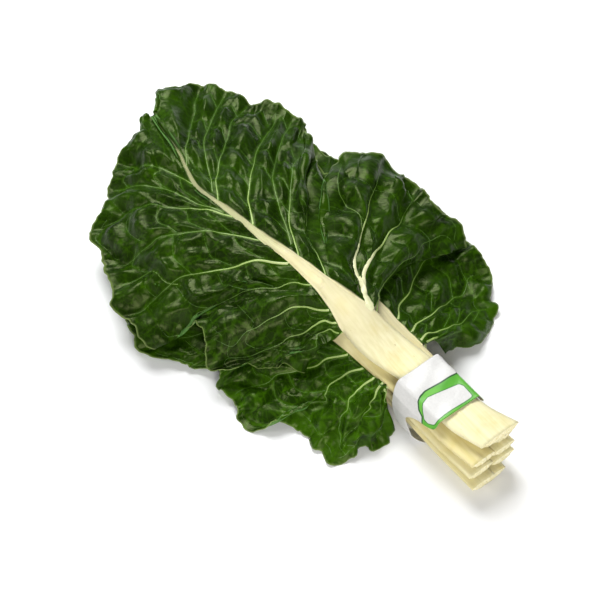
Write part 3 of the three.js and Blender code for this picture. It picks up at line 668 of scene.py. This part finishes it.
def leaf_sheet(leaf, field):
    """The leaf's upper face as a grid of points, its thickness, and what its material needs."""
    rng = np.random.default_rng(leaf["seed"])
    crimp_rng = np.random.default_rng(leaf["seed"] + 100)
    xs = row_places(leaf)
    half = leaf["half_columns"]
    on_rib = slice(half, half + RIB_COLUMNS)
    shape = (len(xs), 2 * half + RIB_COLUMNS)
    base = np.full((*shape, 3), np.nan)
    part, crimps = np.zeros(shape), np.zeros(shape)
    rib_part, is_rib = np.zeros(shape[1]), np.zeros(shape[1])
    rib_part[on_rib], is_rib[on_rib] = np.linspace(-1, 1, RIB_COLUMNS), 1
    base[:, on_rib] = rib_points(leaf, np.repeat(xs[:, None], RIB_COLUMNS, 1), rib_part[on_rib])
    moved = base.copy()
    for side in SIDES:
        here = xs <= veins_of(leaf, side)[0][0]
        where = slice(0, half) if side == NEAR else slice(half + RIB_COLUMNS, None)
        grids = half_blade(leaf, side, xs[here], field, rng, crimp_rng)
        for whole, grid in zip((base, moved, part, crimps), grids):
            whole[here, where] = grid[:, ::side]
    lines = vein_lines(leaf, NEAR, rng) + vein_lines(leaf, FAR, rng)
    to_main, to_vein, vein_width = vein_distances(leaf, lines, base)
    cell = cell_distances(leaf, base, rng)

    # relief of the blade: it swells between its veins, waves towards its margin, and is uneven
    swell = sum(height * (1 - bell(gap, 0, reach))
                for gap, (height, reach) in zip((to_main, to_vein, cell), SWELLINGS))
    swell -= SWELL_SINK * smooth(0, 0.25, part)
    relief = leaf["puff"] * swell * np.where(part > 0, 1 - 0.5 * smooth(0.88, 1, part), 0)
    relief += CRIMP_RELIEF * crimps
    uneven = sum(height * lumps(base, size, rng) for height, size in BLADE_LUMPS)
    relief += (part > 0) * smooth(0, 0.2, part) * uneven * (0.4 + 0.6 * leaf["puff"])
    # the midrib stands a little proud, and the stalk has fine ridges along it
    stalk = 1 - smooth(BUNDLE_ENDS_AT, HEAP_STARTS_AT, base[..., 0])
    width = along(leaf["width"], xs)[:, None]
    crown = (1 - rib_part**2) * is_rib * np.minimum(1.0, width / 20)
    ridges = RIDGE_RELIEF * waves(*RIDGES, rng)(rib_part + 0.02 * xs[:, None] / 20)
    relief += is_rib * (crown * (1 - stalk) * RIB_CROWN + ridges * np.minimum(1, width / 16))
    edge_drop = STALK_EDGE * 0.8 * (1 - np.sqrt(np.maximum(0, 1 - np.abs(rib_part) ** 2.6)))
    relief -= is_rib * edge_drop * stalk
    upper = moved + normals_of(moved) * np.nan_to_num(relief)[..., None]

    # thickness: a thin blade, with the veins standing out below, and a thick stalk
    depth = np.minimum(along(leaf["depth"], xs)[:, None], 0.5 + 0.7 * width)
    edge = BLADE_THICKNESS + (STALK_EDGE - BLADE_THICKNESS) * stalk
    rounded = np.sqrt(np.maximum(0, 1 - rib_part**2))
    rib_depth = edge + (np.maximum(depth, edge) - edge) * rounded - edge_drop * stalk
    below = BLADE_THICKNESS + vein_width * 1.2 * bell(to_vein, 0, vein_width + 0.4)
    below += 1.6 * bell(to_main, 0, 3) * smooth(0.1, 0, part)
    rib_shows = np.broadcast_to(np.clip((width - 1) / 9, 0, 1) ** 0.5, shape)
    return dict(
        seed=leaf["seed"], xs=xs, half=half, lines=lines, base=base, part=part, upper=upper,
        thickness=np.where(is_rib > 0, rib_depth, below),
        # what the material reads: values over the grid, and for the cut end and vein ridges
        looks=dict(vein=(np.clip(to_vein, 0, 4), 4), cell=(np.clip(cell, 0, 9), 5),
                   rib_near=(np.where(is_rib > 0, 0, np.clip(90 * part, 0, 50)), 0),
                   stalk=(stalk, 1), margin=(part, 0), rib_shows=(rib_shows, 1)),
    )


# ---- stacking the leaves -----------------------------------------------------------------------

RIB_EVENING = 9.0


def lower_face(sheet):
    """The leaf's lower face: its upper one moved down by its thickness."""
    return sheet["upper"] - normals_of(sheet["upper"]) * sheet["thickness"][..., None]


def settle(sheet, field):
    """Lifts a leaf clear of the leaves below it, and adds it to the field of heights."""
    upper = sheet["upper"]
    lower = lower_face(sheet)
    free = smooth(-45, -75, sheet["base"][..., 0])
    need = field[cells_of(lower)] + LEAF_GAP - lower[..., 2]
    need = np.nan_to_num(np.maximum(need, 0)) * np.nan_to_num(free)
    lift = spread(spread(need, 5, np.maximum.reduce), 5, average)
    # along the midrib the lift is evened by distance, as its rows lie closer on the blade
    xs = sheet["xs"]
    share = bell(xs[:, None], xs, RIB_EVENING) * np.abs(np.gradient(xs))
    even = (share / share.sum(1, keepdims=True)) @ lift
    lift = lift + (even - lift) * (1 - smooth(0, 0.12, sheet["part"]))
    upper[..., 2] += np.maximum(lift, need)
    lower = lower_face(sheet)
    lower[..., 2] = np.maximum(lower[..., 2], FLOOR_GAP)
    upper[..., 2] = np.maximum(upper[..., 2], lower[..., 2] + 0.2)
    sheet["lower"] = lower
    there = ~np.isnan(upper[..., 2])
    top = np.full(FIELD_SHAPE, -1.0)
    np.maximum.at(top, cells_of(upper[there]), upper[there][:, 2])
    np.maximum(field, spread(top, 1, np.maximum.reduce), out=field)


# ---- meshes ------------------------------------------------------------------------------------

CUT_LAYERS = 7
CUT_ROUGHNESS = 0.45
FACE, BACK, CUT, VEIN = range(4)


def read_grid(grid, row, column):
    """Values of a grid between its rows and columns."""
    r = np.clip(row.astype(int), 0, grid.shape[0] - 2)
    c = np.clip(column.astype(int), 0, grid.shape[1] - 2)
    u, v = (row - r)[:, None], (column - c)[:, None]
    return ((grid[r, c] * (1 - u) + grid[r + 1, c] * u) * (1 - v)
            + (grid[r, c + 1] * (1 - u) + grid[r + 1, c + 1] * u) * v)


def smooth_mesh(name, points, faces, attributes, slots=None):
    """A Blender mesh from points in millimetres, with what its materials read at each of them."""
    mesh = bpy.data.meshes.new(name)
    mesh.from_pydata((points * MM).tolist(), [], faces)
    mesh.polygons.foreach_set("use_smooth", np.ones(len(faces), bool))
    if slots is not None:
        mesh.polygons.foreach_set("material_index", slots)
    for key, values in attributes.items():
        kind, value = ("FLOAT", "value") if values.ndim == 1 else ("FLOAT_VECTOR", "vector")
        layer = mesh.attributes.new(key, kind, "POINT")
        layer.data.foreach_set(value, values.astype(np.float32).ravel())
    mesh.update(calc_edges=True)
    mesh.validate()
    return mesh


def vein_ridges(sheet, first):
    """Low ridges along the veins, set into the upper face: points, faces and half widths.

    Each ridge is a row of rings of points, numbered from first. A ring has five points over the
    top of the vein and one under it.
    """
    half, upper = sheet["half"], sheet["upper"]
    normal = normals_of(upper)
    points, faces, widths = [], [], []
    for line in sheet["lines"]:
        row = np.interp(-line["x"], -sheet["xs"], np.arange(len(sheet["xs"])))
        if line["side"] == NEAR:
            column = half * (1 - line["part"])
        else:
            column = half + RIB_COLUMNS - 1 + half * line["part"]
        centre = read_grid(upper, row, column)
        good = ~np.isnan(centre[:, 0])
        if good.sum() < 4:
            continue
        centre, up = centre[good], read_grid(normal, row, column)[good]
        ahead = np.gradient(centre, axis=0)
        beside = unit(np.cross(up, ahead))
        up = unit(np.cross(ahead, beside))
        wide = line["width"][good][:, None]
        # a vein rises out of the blade over its first millimetres, a thick one more slowly
        rises_over = min(12, 1 + 2 * wide[0, 0] ** 2)
        risen = np.linspace(0, len(wide) * VEIN_STEP / rises_over, len(wide))[:, None]
        risen = np.minimum(1, risen)
        high = (0.06 + 0.26 * np.minimum(wide, 2.4)) * risen
        sink = 0.06 + 0.8 * (1 - risen)
        ring = [centre + beside * wide * math.cos(a) + up * (high * math.sin(a) - sink)
                for a in np.linspace(0, math.pi, 5)]
        ring.append(centre - up * (sink + 0.3))
        ring = np.stack(ring, 1)
        rows, count = ring.shape[:2]
        number = first + np.arange(rows * count).reshape(rows, count)
        turned = np.roll(number, -1, axis=1)
        quads = np.stack([number[:-1], number[1:], turned[1:], turned[:-1]], -1)
        faces.append(quads.reshape(-1, 4))
        for end in (number[0], number[-1][::-1]):
            faces.append(end[[[0, 1, 2, 5], [2, 3, 4, 5]]])
        points.append(ring.reshape(-1, 3))
        widths.append(np.repeat(wide[:, 0], count))
        first += rows * count
    return np.concatenate(points), np.concatenate(faces), np.concatenate(widths)


def leaf_mesh(sheet, name):
    """A closed mesh from a leaf's two faces, with a rough cut face at the end of its stalk."""
    upper, lower = sheet["upper"], sheet["lower"]
    there = ~np.isnan(upper[..., 0])
    count = int(there.sum())
    number = np.full(there.shape, -1)
    number[there] = np.arange(count)
    quads = there[:-1, :-1] & there[:-1, 1:] & there[1:, 1:] & there[1:, :-1]
    top = np.column_stack([number[:-1, :-1][quads], number[:-1, 1:][quads],
                           number[1:, 1:][quads], number[1:, :-1][quads]])
    bottom = top[:, ::-1] + count
    edges = np.concatenate([top[:, [k, (k + 1) % 4]] for k in range(4)])
    keys, back = edges @ (count + 1, 1), edges @ (1, count + 1)
    rim = edges[~np.isin(keys, back)]
    # the cut end is the rim along the first row: it gets its own, finer face
    first = number[0][there[0]]
    rim = rim[~np.isin(rim, first).all(axis=1)]
    side = np.column_stack([rim[:, [1, 0]], rim + count])
    upper, lower = upper[there], lower[there]
    points = [upper, lower]
    ends = [first]
    rng = np.random.default_rng(sheet["seed"] + 50)
    start = 2 * count
    for k in range(1, CUT_LAYERS):
        t = k / CUT_LAYERS
        layer = upper[first] * (1 - t) + lower[first] * t
        inside = np.sin(math.pi * t) * np.cos(np.linspace(-1, 1, len(first)) * math.pi / 2)
        layer[:, 0] += inside * rng.normal(0, CUT_ROUGHNESS, len(first))
        points.append(layer)
        ends.append(np.arange(start, start + len(first)))
        start += len(first)
    ends.append(first + count)
    cut = np.concatenate([np.column_stack([high[1:], high[:-1], low[:-1], low[1:]])
                          for high, low in zip(ends[:-1], ends[1:])])
    ridges, ridge_faces, ridge_widths = vein_ridges(sheet, start)
    points.append(ridges)
    groups = [(top, FACE), (bottom, BACK), (side, FACE), (cut, CUT), (ridge_faces, VEIN)]
    faces = np.concatenate([group for group, _ in groups]).tolist()
    slots = np.concatenate([np.full(len(group), slot) for group, slot in groups])
    elsewhere = sum(map(len, points[2:]))
    looks = {key: np.concatenate([grid[there], grid[there], np.full(elsewhere, float(value))])
             for key, (grid, value) in sheet["looks"].items()}
    not_ridge = np.ones(2 * count + elsewhere - len(ridges))
    looks["vein_shows"] = np.concatenate([not_ridge, ridge_widths])
    looks["place"] = np.concatenate([sheet["base"][there]] * 2 + points[2:])
    return smooth_mesh(name, np.concatenate(points), faces, looks, slots)


# ---- materials ---------------------------------------------------------------------------------

class Nodes:
    """A short way to write a node tree."""

    def __init__(self, name):
        self.material = bpy.data.materials.new(name)
        self.material.use_nodes = True
        self.tree = self.material.node_tree
        self.shader = self.tree.nodes["Principled BSDF"]

    def new(self, kind, inputs, **settings):
        node = self.tree.nodes.new("ShaderNode" + kind)
        for key, value in settings.items():
            setattr(node, key, value)
        self.fill(node, inputs)
        return node

    def fill(self, node, inputs):
        """Gives sockets, by name or number, what another socket says or a plain value."""
        for key, value in inputs.items():
            if isinstance(value, bpy.types.NodeSocket):
                self.tree.links.new(value, node.inputs[key])
            else:
                node.inputs[key].default_value = value

    def shade(self, **inputs):
        """Sets the shader's sockets, whose names are written here with _ for a space."""
        self.fill(self.shader, {key.replace("_", " "): value for key, value in inputs.items()})

    def attribute(self, name, output="Fac"):
        return self.new("Attribute", {}, attribute_name=name).outputs[output]

    def maths(self, operation, *values):
        return self.new("Math", dict(enumerate(values)), operation=operation).outputs[0]

    def ramp(self, value, low, high, to_low=0.0, to_high=1.0):
        inputs = {"Value": value, "From Min": low, "From Max": high,
                  "To Min": to_low, "To Max": to_high}
        node = self.new("MapRange", inputs, interpolation_type="SMOOTHSTEP")
        return node.outputs["Result"]

    def mix(self, factor, a, b):
        node = self.new("Mix", {"Factor": factor, "A": a, "B": b}, data_type="RGBA")
        return node.outputs["Result"]

    def scaled(self, vector, scale):
        return self.new("Mapping", {"Vector": vector, "Scale": scale}).outputs["Vector"]

    def noise(self, vector, scale, detail=3.0, rough=0.55):
        inputs = {"Vector": vector, "Scale": scale, "Detail": detail, "Roughness": rough}
        return self.new("TexNoise", inputs).outputs["Fac"]

    def cracks(self, vector, scale):
        node = self.new("TexVoronoi", {"Vector": vector, "Scale": scale},
                        feature="DISTANCE_TO_EDGE")
        return node.outputs["Distance"]

    def bump(self, height, strength, distance, normal=None):
        inputs = {"Height": height, "Strength": strength, "Distance": distance}
        if normal is not None:
            inputs["Normal"] = normal
        return self.new("Bump", inputs).outputs["Normal"]


def srgb(r, g, b):
    """A colour written as 0 to 255 numbers, as the shader wants it."""
    def channel(v):
        v /= 255
        return v / 12.92 if v <= 0.04045 else ((v + 0.055) / 1.055) ** 2.4
    return (channel(r), channel(g), channel(b), 1.0)


def leaf_material(name, tone, ochre, under=False):
    """Green blade, pale veins and cream stalk, told apart by the mesh's own attributes."""
    n = Nodes(name)
    place = n.attribute("place", "Vector")
    rib_shows = n.attribute("rib_shows")
    if under:
        dark, mid, fresh = srgb(52, 92, 40), srgb(84, 124, 62), srgb(112, 150, 80)
        pale, least_rough, most_rough = srgb(196, 212, 150), 0.5, 0.62
    else:
        light = 0.75 + 0.5 * tone
        dark, mid = srgb(15 * light, 33 * light, 1), srgb(27 * light, 51 * light, 1)
        fresh = srgb(58 * light, 96 * light, 4 * light)
        pale, least_rough, most_rough = srgb(168, 190, 110), 0.26, 0.4
    # the blade: patches, mottling, its finest veins, and paler green along its veins and margin
    green = n.mix(n.ramp(n.noise(place, 0.022, 4), 0.35, 0.65), dark, mid)
    finest = n.cracks(place, 0.2)
    for share in (n.ramp(n.noise(place, 0.11, 5, 0.65), 0.52, 0.8, 0, 0.55),
                  n.ramp(finest, 0.01, 0.07, 0.16, 0),
                  n.ramp(n.attribute("cell"), 0.1, 0.6, 0.25, 0),
                  n.ramp(n.attribute("vein"), 0.2, 1.6, 0.3, 0)):
        green = n.mix(share, green, fresh)
    green = n.mix(n.ramp(n.attribute("margin"), 0.985, 1.0, 0, 0.35), green, pale)
    # the stalk and midrib: cream fibres, ochre stains, brown specks, greener where it is thin
    fibres = n.noise(n.scaled(place, (0.012, 0.4, 0.3)), 1.0, 4)
    cream = n.mix(n.ramp(fibres, 0.3, 0.72), srgb(219, 212, 168), srgb(233, 227, 190))
    stains = n.ramp(n.noise(place, 0.05), 0.5, 0.7, 0.9 * ochre, 0.3 + 0.6 * ochre)
    cream = n.mix(stains, cream, srgb(206, 184, 96))
    specks = n.noise(n.scaled(place, (0.12, 0.4, 0.4)), 1.0, 2)
    cream = n.mix(n.ramp(specks, 0.72, 0.8, 0, 0.6), cream, srgb(150, 112, 52))
    greener = n.mix(0.45, cream, srgb(190, 204, 128))
    cream = n.mix(n.ramp(rib_shows, 0.7, 1.0), greener, cream)
    shaded = n.ramp(n.attribute("stalk"), 0.0, 0.9, 0.55, 0)
    cream = n.mix(shaded, cream, srgb(206, 197, 158))
    in_rib = n.maths("MULTIPLY", n.ramp(n.attribute("rib_near"), 0.0, 0.7, 1, 0), rib_shows)
    rough = n.ramp(n.noise(place, 0.09, 4), 0.3, 0.7, least_rough, most_rough)
    # fine relief: crinkles on the blade, and strands along the stalk
    on_blade = n.maths("SUBTRACT", 1.0, in_rib)
    normal = n.bump(n.maths("MULTIPLY", n.ramp(finest, 0.0, 0.3), on_blade), 0.15, 0.0006)
    uneven = n.maths("MULTIPLY", n.noise(place, 0.3, 5, 0.6), on_blade)
    normal = n.bump(uneven, 0.12, 0.0012, normal)
    strands = n.noise(n.scaled(place, (0.012, 1.3, 0.7)), 1.0)
    normal = n.bump(n.maths("MULTIPLY", strands, in_rib), 0.12, 0.0006, normal)
    n.shade(Base_Color=n.mix(in_rib, green, cream), Normal=normal,
            Roughness=n.mix(in_rib, rough, (0.42, 0.42, 0.42, 1)),
            Specular_IOR_Level=0.18, Specular_Tint=(0.86, 1.0, 0.42, 1),
            Subsurface_Weight=0.06, Subsurface_Radius=(0.002, 0.003, 0.001))
    return n.material


def vein_material():
    """A pale vein: cream where it is thick, yellow-green where it is thin."""
    n = Nodes("leaf_vein")
    place, wide = n.attribute("place", "Vector"), n.attribute("vein_shows")
    colour = n.mix(n.ramp(wide, 0.18, 0.7), srgb(66, 102, 24), srgb(150, 176, 92))
    colour = n.mix(n.ramp(wide, 0.6, 1.6), colour, srgb(226, 224, 180))
    colour = n.mix(n.ramp(n.noise(place, 0.2), 0.4, 0.7, 0, 0.2), colour, srgb(128, 158, 74))
    n.shade(Base_Color=colour, Normal=n.bump(n.noise(place, 0.9), 0.2, 0.0004),
            Roughness=n.ramp(n.noise(place, 0.3, 2), 0.3, 0.7, 0.38, 0.5))
    return n.material


def cut_material():
    """The fibrous cut face of a stalk."""
    n = Nodes("cut_stalk")
    place = n.attribute("place", "Vector")
    grain, pores = n.noise(place, 0.7, 5, 0.7), n.cracks(place, 0.7)
    colour = n.mix(n.ramp(grain, 0.3, 0.7), srgb(224, 210, 146), srgb(252, 247, 218))
    colour = n.mix(n.ramp(pores, 0.02, 0.12, 0.35, 0), colour, srgb(222, 214, 150))
    colour = n.mix(n.ramp(n.noise(place, 0.16), 0.6, 0.78, 0, 0.55), colour, srgb(176, 142, 72))
    normal = n.bump(grain, 0.6, 0.0012, n.bump(pores, 0.6, 0.0008))
    n.shade(Base_Color=colour, Roughness=0.5, Normal=normal)
    return n.material


# ---- the tie -----------------------------------------------------------------------------------

TIE_TOP = 47.6
TIE_CORNERS = [(-17, 0), (-26.5, 11), (-26.5, 28), (-24.6, 38), (-18.6, TIE_TOP), (19, TIE_TOP),
               (24, 38), (26, 28), (26, 11), (17, 0)]
TIE_CORNER_RADIUS = 3.5
TIE_CORNER_STEPS = 8
TIE_STEP = 1.0
TIE_COLUMNS = 53
TIE_THICKNESS = 0.35
# The tie's two edges along the stalks (x), at distances round it from the middle of its top.
# The label lies on top, and the plain strip goes round below.
TIE_EDGES = [(-70, -7.5, 7.5), (-62, -9.5, 5.5), (-50, -17.5, -2.5), (-42, -21, -5.5),
             (-38, -21.8, -4.5), (-34, -22.3, 0), (-31, -22.6, 8), (-28, -23.2, 17),
             (-26, -23.8, 20.4), (-20, -24.6, 21), (0, -24.8, 21.2), (26, -24.8, 21.2),
             (34, -24, 20.5), (38, -12, 12), (44, -7.5, 7.5), (60, -7.5, 7.5)]
# Creases in the paper, which fade away from the top (height and size), and their seed.
CREASES = [(0.35, 9), (0.5, 24)]
TIE_SEED = 41
# The twisted ends of the paper, beside the label.
TAIL_START = (2, 26, 23)
TAIL_END = (27, 29.5, 16)
TAIL_WIDTH = 5
TAIL_THICKNESS = 1.8
TAIL_TURNS = 1.5
TAIL_STEPS, TAIL_RING = 60, 20
# The label's print, drawn in mm: x along the stalks, y round the tie from the middle of its top.
GREEN_AREA = [(30, -26), (20, -27), (14, -33), (9.5, -31), (6.5, -26.5), (1.5, -24.5),
              (-2.5, -20), (-4.8, -15), (-5.8, -10), (-5.2, -3), (-4.4, 4), (-4.1, 12),
              (-3.4, 18), (-7, 27), (-14, 36), (-14, 60), (30, 60)]
WHITE_INSET = [(1.3, -11.5), (6.2, 12.5), (8.3, 13.7), (17, 13.2), (17.3, 11.5), (16.6, -12),
               (17.1, -18.6), (17, -22.5), (13.6, -24.6), (10, -24.8), (6, -21), (3, -17)]
WHITE_INSET_GROWN = 1.5


def rounded_outline(corners, radius, steps, longest):
    """Points and outward normals round a convex outline with rounded corners."""
    outline = []
    corners = [np.array(corner, float) for corner in corners]
    for i, at in enumerate(corners):
        back = corners[i - 1] - at
        ahead = corners[(i + 1) % len(corners)] - at
        back /= np.linalg.norm(back)
        ahead /= np.linalg.norm(ahead)
        half = math.acos(float(back @ ahead)) / 2
        inwards = (back + ahead) / np.linalg.norm(back + ahead)
        centre = at + inwards * radius / math.sin(half)
        middle = math.atan2(-inwards[1], -inwards[0])
        for k in range(steps + 1):
            angle = middle + (math.pi - 2 * half) * (0.5 - k / steps)
            normal = np.array([math.cos(angle), math.sin(angle)])
            outline.append((centre + normal * radius, normal))
    points, normals = [outline[0][0]], [outline[0][1]]
    for (start, before), (end, normal) in zip(outline[:-1], outline[1:]):
        parts = max(1, math.ceil(np.linalg.norm(end - start) / longest))
        for k in range(1, parts + 1):
            points.append(start + (end - start) * k / parts)
            normals.append(before + (normal - before) * k / parts)
    return np.array(points), np.array(normals)


def distance_inside(points, corners):
    """How far points lie inside a polygon; less than 0 outside it."""
    inside = np.zeros(len(points), bool)
    nearest_edge = np.full(len(points), 1e9)
    for a, b in zip(corners, corners[1:] + corners[:1]):
        a, b = np.array(a, float), np.array(b, float)
        run = b - a
        t = np.clip((points - a) @ run / (run @ run), 0, 1)
        nearest_edge = np.minimum(nearest_edge, lengths(points - a - t[:, None] * run))
        crosses = (a[1] > points[:, 1]) != (b[1] > points[:, 1])
        if a[1] != b[1]:
            at = a[0] + run[0] * (points[:, 1] - a[1]) / run[1]
            inside ^= crosses & (points[:, 0] < at)
    return np.where(inside, nearest_edge, -nearest_edge)


def tie_band():
    """The strip round the stalks: points, faces, and each point's place on the flat paper.

    A row of points goes along the stalks on the outside of the paper and back on its inside.
    """
    points, normals = rounded_outline(TIE_CORNERS, TIE_CORNER_RADIUS, TIE_CORNER_STEPS, TIE_STEP)
    around = np.concatenate([[0], lengths(np.diff(points, axis=0)).cumsum()])
    around -= around[np.hypot(*(points - (0, TIE_TOP)).T).argmin()]
    low, high = along(TIE_EDGES, around), along(TIE_EDGES, around, 2)
    x = low[:, None] + (high - low)[:, None] * np.linspace(0, 1, TIE_COLUMNS)
    flat = np.stack([x, np.broadcast_to(around[:, None], x.shape), 0 * x], -1)
    rng = np.random.default_rng(TIE_SEED)
    crease = sum(height * lumps(flat, size, rng) for height, size in CREASES)
    out = np.clip(crease, -0.4, 1.4) * smooth(6, 12, points[:, 1])[:, None]
    outwards = np.concatenate([np.zeros((len(points), 1)), normals], axis=1)[:, None]
    outer = np.concatenate([x[..., None], np.broadcast_to(points[:, None], (*x.shape, 2))], -1)
    outer = outer + outwards * out[..., None]
    section = np.concatenate([outer, (outer - outwards * TIE_THICKNESS)[:, ::-1]], axis=1)
    flat = np.concatenate([flat, flat[:, ::-1]], axis=1)
    number = np.arange(flat.size // 3).reshape(flat.shape[:2])
    ahead, beside = np.roll(number, -1, axis=0), np.roll(number, -1, axis=1)
    faces = np.stack([number, ahead, np.roll(beside, -1, axis=0), beside], -1)
    return section.reshape(-1, 3), faces.reshape(-1, 4).tolist(), flat.reshape(-1, 3)


def tie_tail(first):
    """The paper's two ends as one twisted bar: points numbered from first, and faces."""
    begin, finish = np.array(TAIL_START, float), np.array(TAIL_END, float)
    ahead = (finish - begin) / np.linalg.norm(finish - begin)
    level = np.cross((0, 0, 1), ahead)
    level /= np.linalg.norm(level)
    upright = np.cross(ahead, level)
    points = []
    for i in range(TAIL_STEPS + 1):
        t = i / TAIL_STEPS
        turn = t * TAIL_TURNS * 2 * math.pi
        wide = level * math.sin(turn) + upright * math.cos(turn)
        thick = np.cross(ahead, wide)
        swell = 0.75 + 0.25 * math.sin(7 * t) ** 2
        for k in range(TAIL_RING):
            angle = 2 * math.pi * k / TAIL_RING
            bow = 0.5 * math.cos(angle) ** 2
            points.append(begin + (finish - begin) * t
                          + wide * math.cos(angle) * TAIL_WIDTH / 2 * swell
                          + thick * (math.sin(angle) * 0.55 + bow - 0.2) * TAIL_THICKNESS / 2)
    number = first + np.arange(len(points)).reshape(-1, TAIL_RING)
    beside = np.roll(number, -1, axis=1)
    faces = np.stack([number[:-1], beside[:-1], beside[1:], number[1:]], -1)
    faces = faces.reshape(-1, 4).tolist()
    for k in range(TAIL_RING):
        faces.append([int(number[0][k]), first + len(points), int(beside[0][k])])
        faces.append([int(beside[-1][k]), first + len(points) + 1, int(number[-1][k])])
    return np.array(points + [begin, finish]), faces


def tie_mesh(name):
    """The paper tie, with what its print needs: how far inside each printed shape a point is."""
    band, faces, flat = tie_band()
    tail, tail_faces = tie_tail(len(band))
    looks = dict(green=distance_inside(flat[:, :2], GREEN_AREA),
                 inset=distance_inside(flat[:, :2], WHITE_INSET) + WHITE_INSET_GROWN,
                 outside=np.arange(len(flat)) % (2 * TIE_COLUMNS) < TIE_COLUMNS)
    looks = {key: np.append(values, np.full(len(tail), 0.0 if key == "outside" else -9.0))
             for key, values in looks.items()}
    looks["place"] = np.concatenate([flat, tail])
    return smooth_mesh(name, np.concatenate([band, tail]), faces + tail_faces, looks)


def paper_material():
    """White paper with a green area, dark lines round it, and a white panel let into it."""
    n = Nodes("label_paper")
    place = n.attribute("place", "Vector")
    green, inset = n.attribute("green"), n.attribute("inset")
    fibres = n.noise(n.scaled(place, (0.6, 0.6, 0.6)), 1.0, 5, 0.7)
    white = n.mix(n.ramp(fibres, 0.3, 0.7), srgb(196, 195, 192), srgb(205, 204, 201))
    leafy = n.mix(n.ramp(n.noise(place, 0.04, 2), 0.3, 0.7), srgb(70, 150, 38), srgb(98, 176, 52))
    rim = n.maths("ABSOLUTE", n.maths("SUBTRACT", green, 0.5))
    inner_rim = n.maths("ABSOLUTE", n.maths("ADD", inset, 0.35))
    colour = n.mix(n.ramp(green, -0.08, 0.08), white, leafy)
    colour = n.mix(n.ramp(rim, 0.5, 0.7, 1, 0), colour, srgb(20, 70, 22))
    colour = n.mix(n.ramp(inner_rim, 0.2, 0.4, 1, 0), colour, srgb(38, 104, 30))
    colour = n.mix(n.ramp(inset, -0.08, 0.08), colour, white)
    colour = n.mix(n.ramp(n.attribute("outside"), 0.4, 0.6), white, colour)
    normal = n.bump(n.noise(place, 0.12), 0.3, 0.0012, n.bump(fibres, 0.15, 0.0003))
    n.shade(Base_Color=colour, Roughness=n.ramp(fibres, 0.3, 0.7, 0.34, 0.46), Normal=normal)
    return n.material


# ---- the bunch ---------------------------------------------------------------------------------

def piece(name, mesh, node):
    """Puts a mesh in the scene in place of a CAD node."""
    obj = bpy.data.objects.new(name, mesh)
    bpy.context.scene.collection.objects.link(obj)
    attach(obj, "root")
    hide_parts(node)


cut, vein = cut_material(), vein_material()
field = np.full(FIELD_SHAPE, -1.0)
for leaf in LEAVES:
    node, tone, ochre = leaf["node"], leaf["tone"], leaf.get("ochre", 0.25)
    sheet = leaf_sheet(leaf, field)
    settle(sheet, field)
    mesh = leaf_mesh(sheet, node)
    for material in (leaf_material(node + "_face", tone, ochre),
                     leaf_material(node + "_back", tone, ochre, under=True), cut, vein):
        mesh.materials.append(material)
    piece(node + "_skin", mesh, node)

mesh = tie_mesh("label_tie")
mesh.materials.append(paper_material())
piece("label_tie_paper", mesh, "label_tie")

# ---- floor, light and camera -------------------------------------------------------------------

FLOOR_HALF = 6
LAMPS_AIM = (-0.15, 0, 0.03)
CAMERA_AT = (453.32, -482.35, 1057.33)
CAMERA_AIM = (-102.5, -48.1, 86.5)

mesh = bpy.data.meshes.new("floor")
corners = [(x * FLOOR_HALF, y * FLOOR_HALF, 0) for x, y in ((-1, -1), (1, -1), (1, 1), (-1, 1))]
mesh.from_pydata(corners, [], [(0, 1, 2, 3)])
floor = bpy.data.objects.new("floor", mesh)
bpy.context.scene.collection.objects.link(floor)
n = Nodes("floor")
n.shade(Base_Color=(0.9, 0.9, 0.9, 1), Roughness=0.6, Specular_IOR_Level=0.2)
mesh.materials.append(n.material)

scene = bpy.context.scene
scene.world = bpy.data.worlds.new("studio")
scene.world.use_nodes = True
background = scene.world.node_tree.nodes["Background"]
background.inputs["Color"].default_value = (1.0, 1.0, 1.0, 1)
background.inputs["Strength"].default_value = 0.15
scene.view_settings.view_transform = "Standard"


def aimed(obj, place, aim):
    """Puts a lamp or the camera in the scene, turned to look at a point."""
    obj.location = place
    obj.rotation_euler = (Vector(aim) - Vector(place)).to_track_quat("-Z", "Y").to_euler()
    scene.collection.objects.link(obj)
    return obj


def lamp(name, place, size, power, colour):
    """A round lamp that lights the middle of the bunch."""
    data = bpy.data.lights.new(name, "AREA")
    data.shape = "DISK"
    data.size = size
    data.energy = power
    data.color = colour
    aimed(bpy.data.objects.new(name, data), place, LAMPS_AIM)


lamp("key", (-1.1, 0.35, 1.4), 1.1, 39, (0.98, 0.99, 1.0))
lamp("side", (-0.9, -1.5, 1.0), 0.6, 8, (1.0, 1.0, 1.0))
lamp("fill", (1.6, -0.8, 1.0), 1.2, 34, (1.0, 0.99, 0.97))

data = bpy.data.cameras.new("camera")
data.lens = 100
data.sensor_width = 36
data.clip_end = 50
scene.camera = aimed(bpy.data.objects.new("camera", data),
                     Vector(CAMERA_AT) * MM, Vector(CAMERA_AIM) * MM)
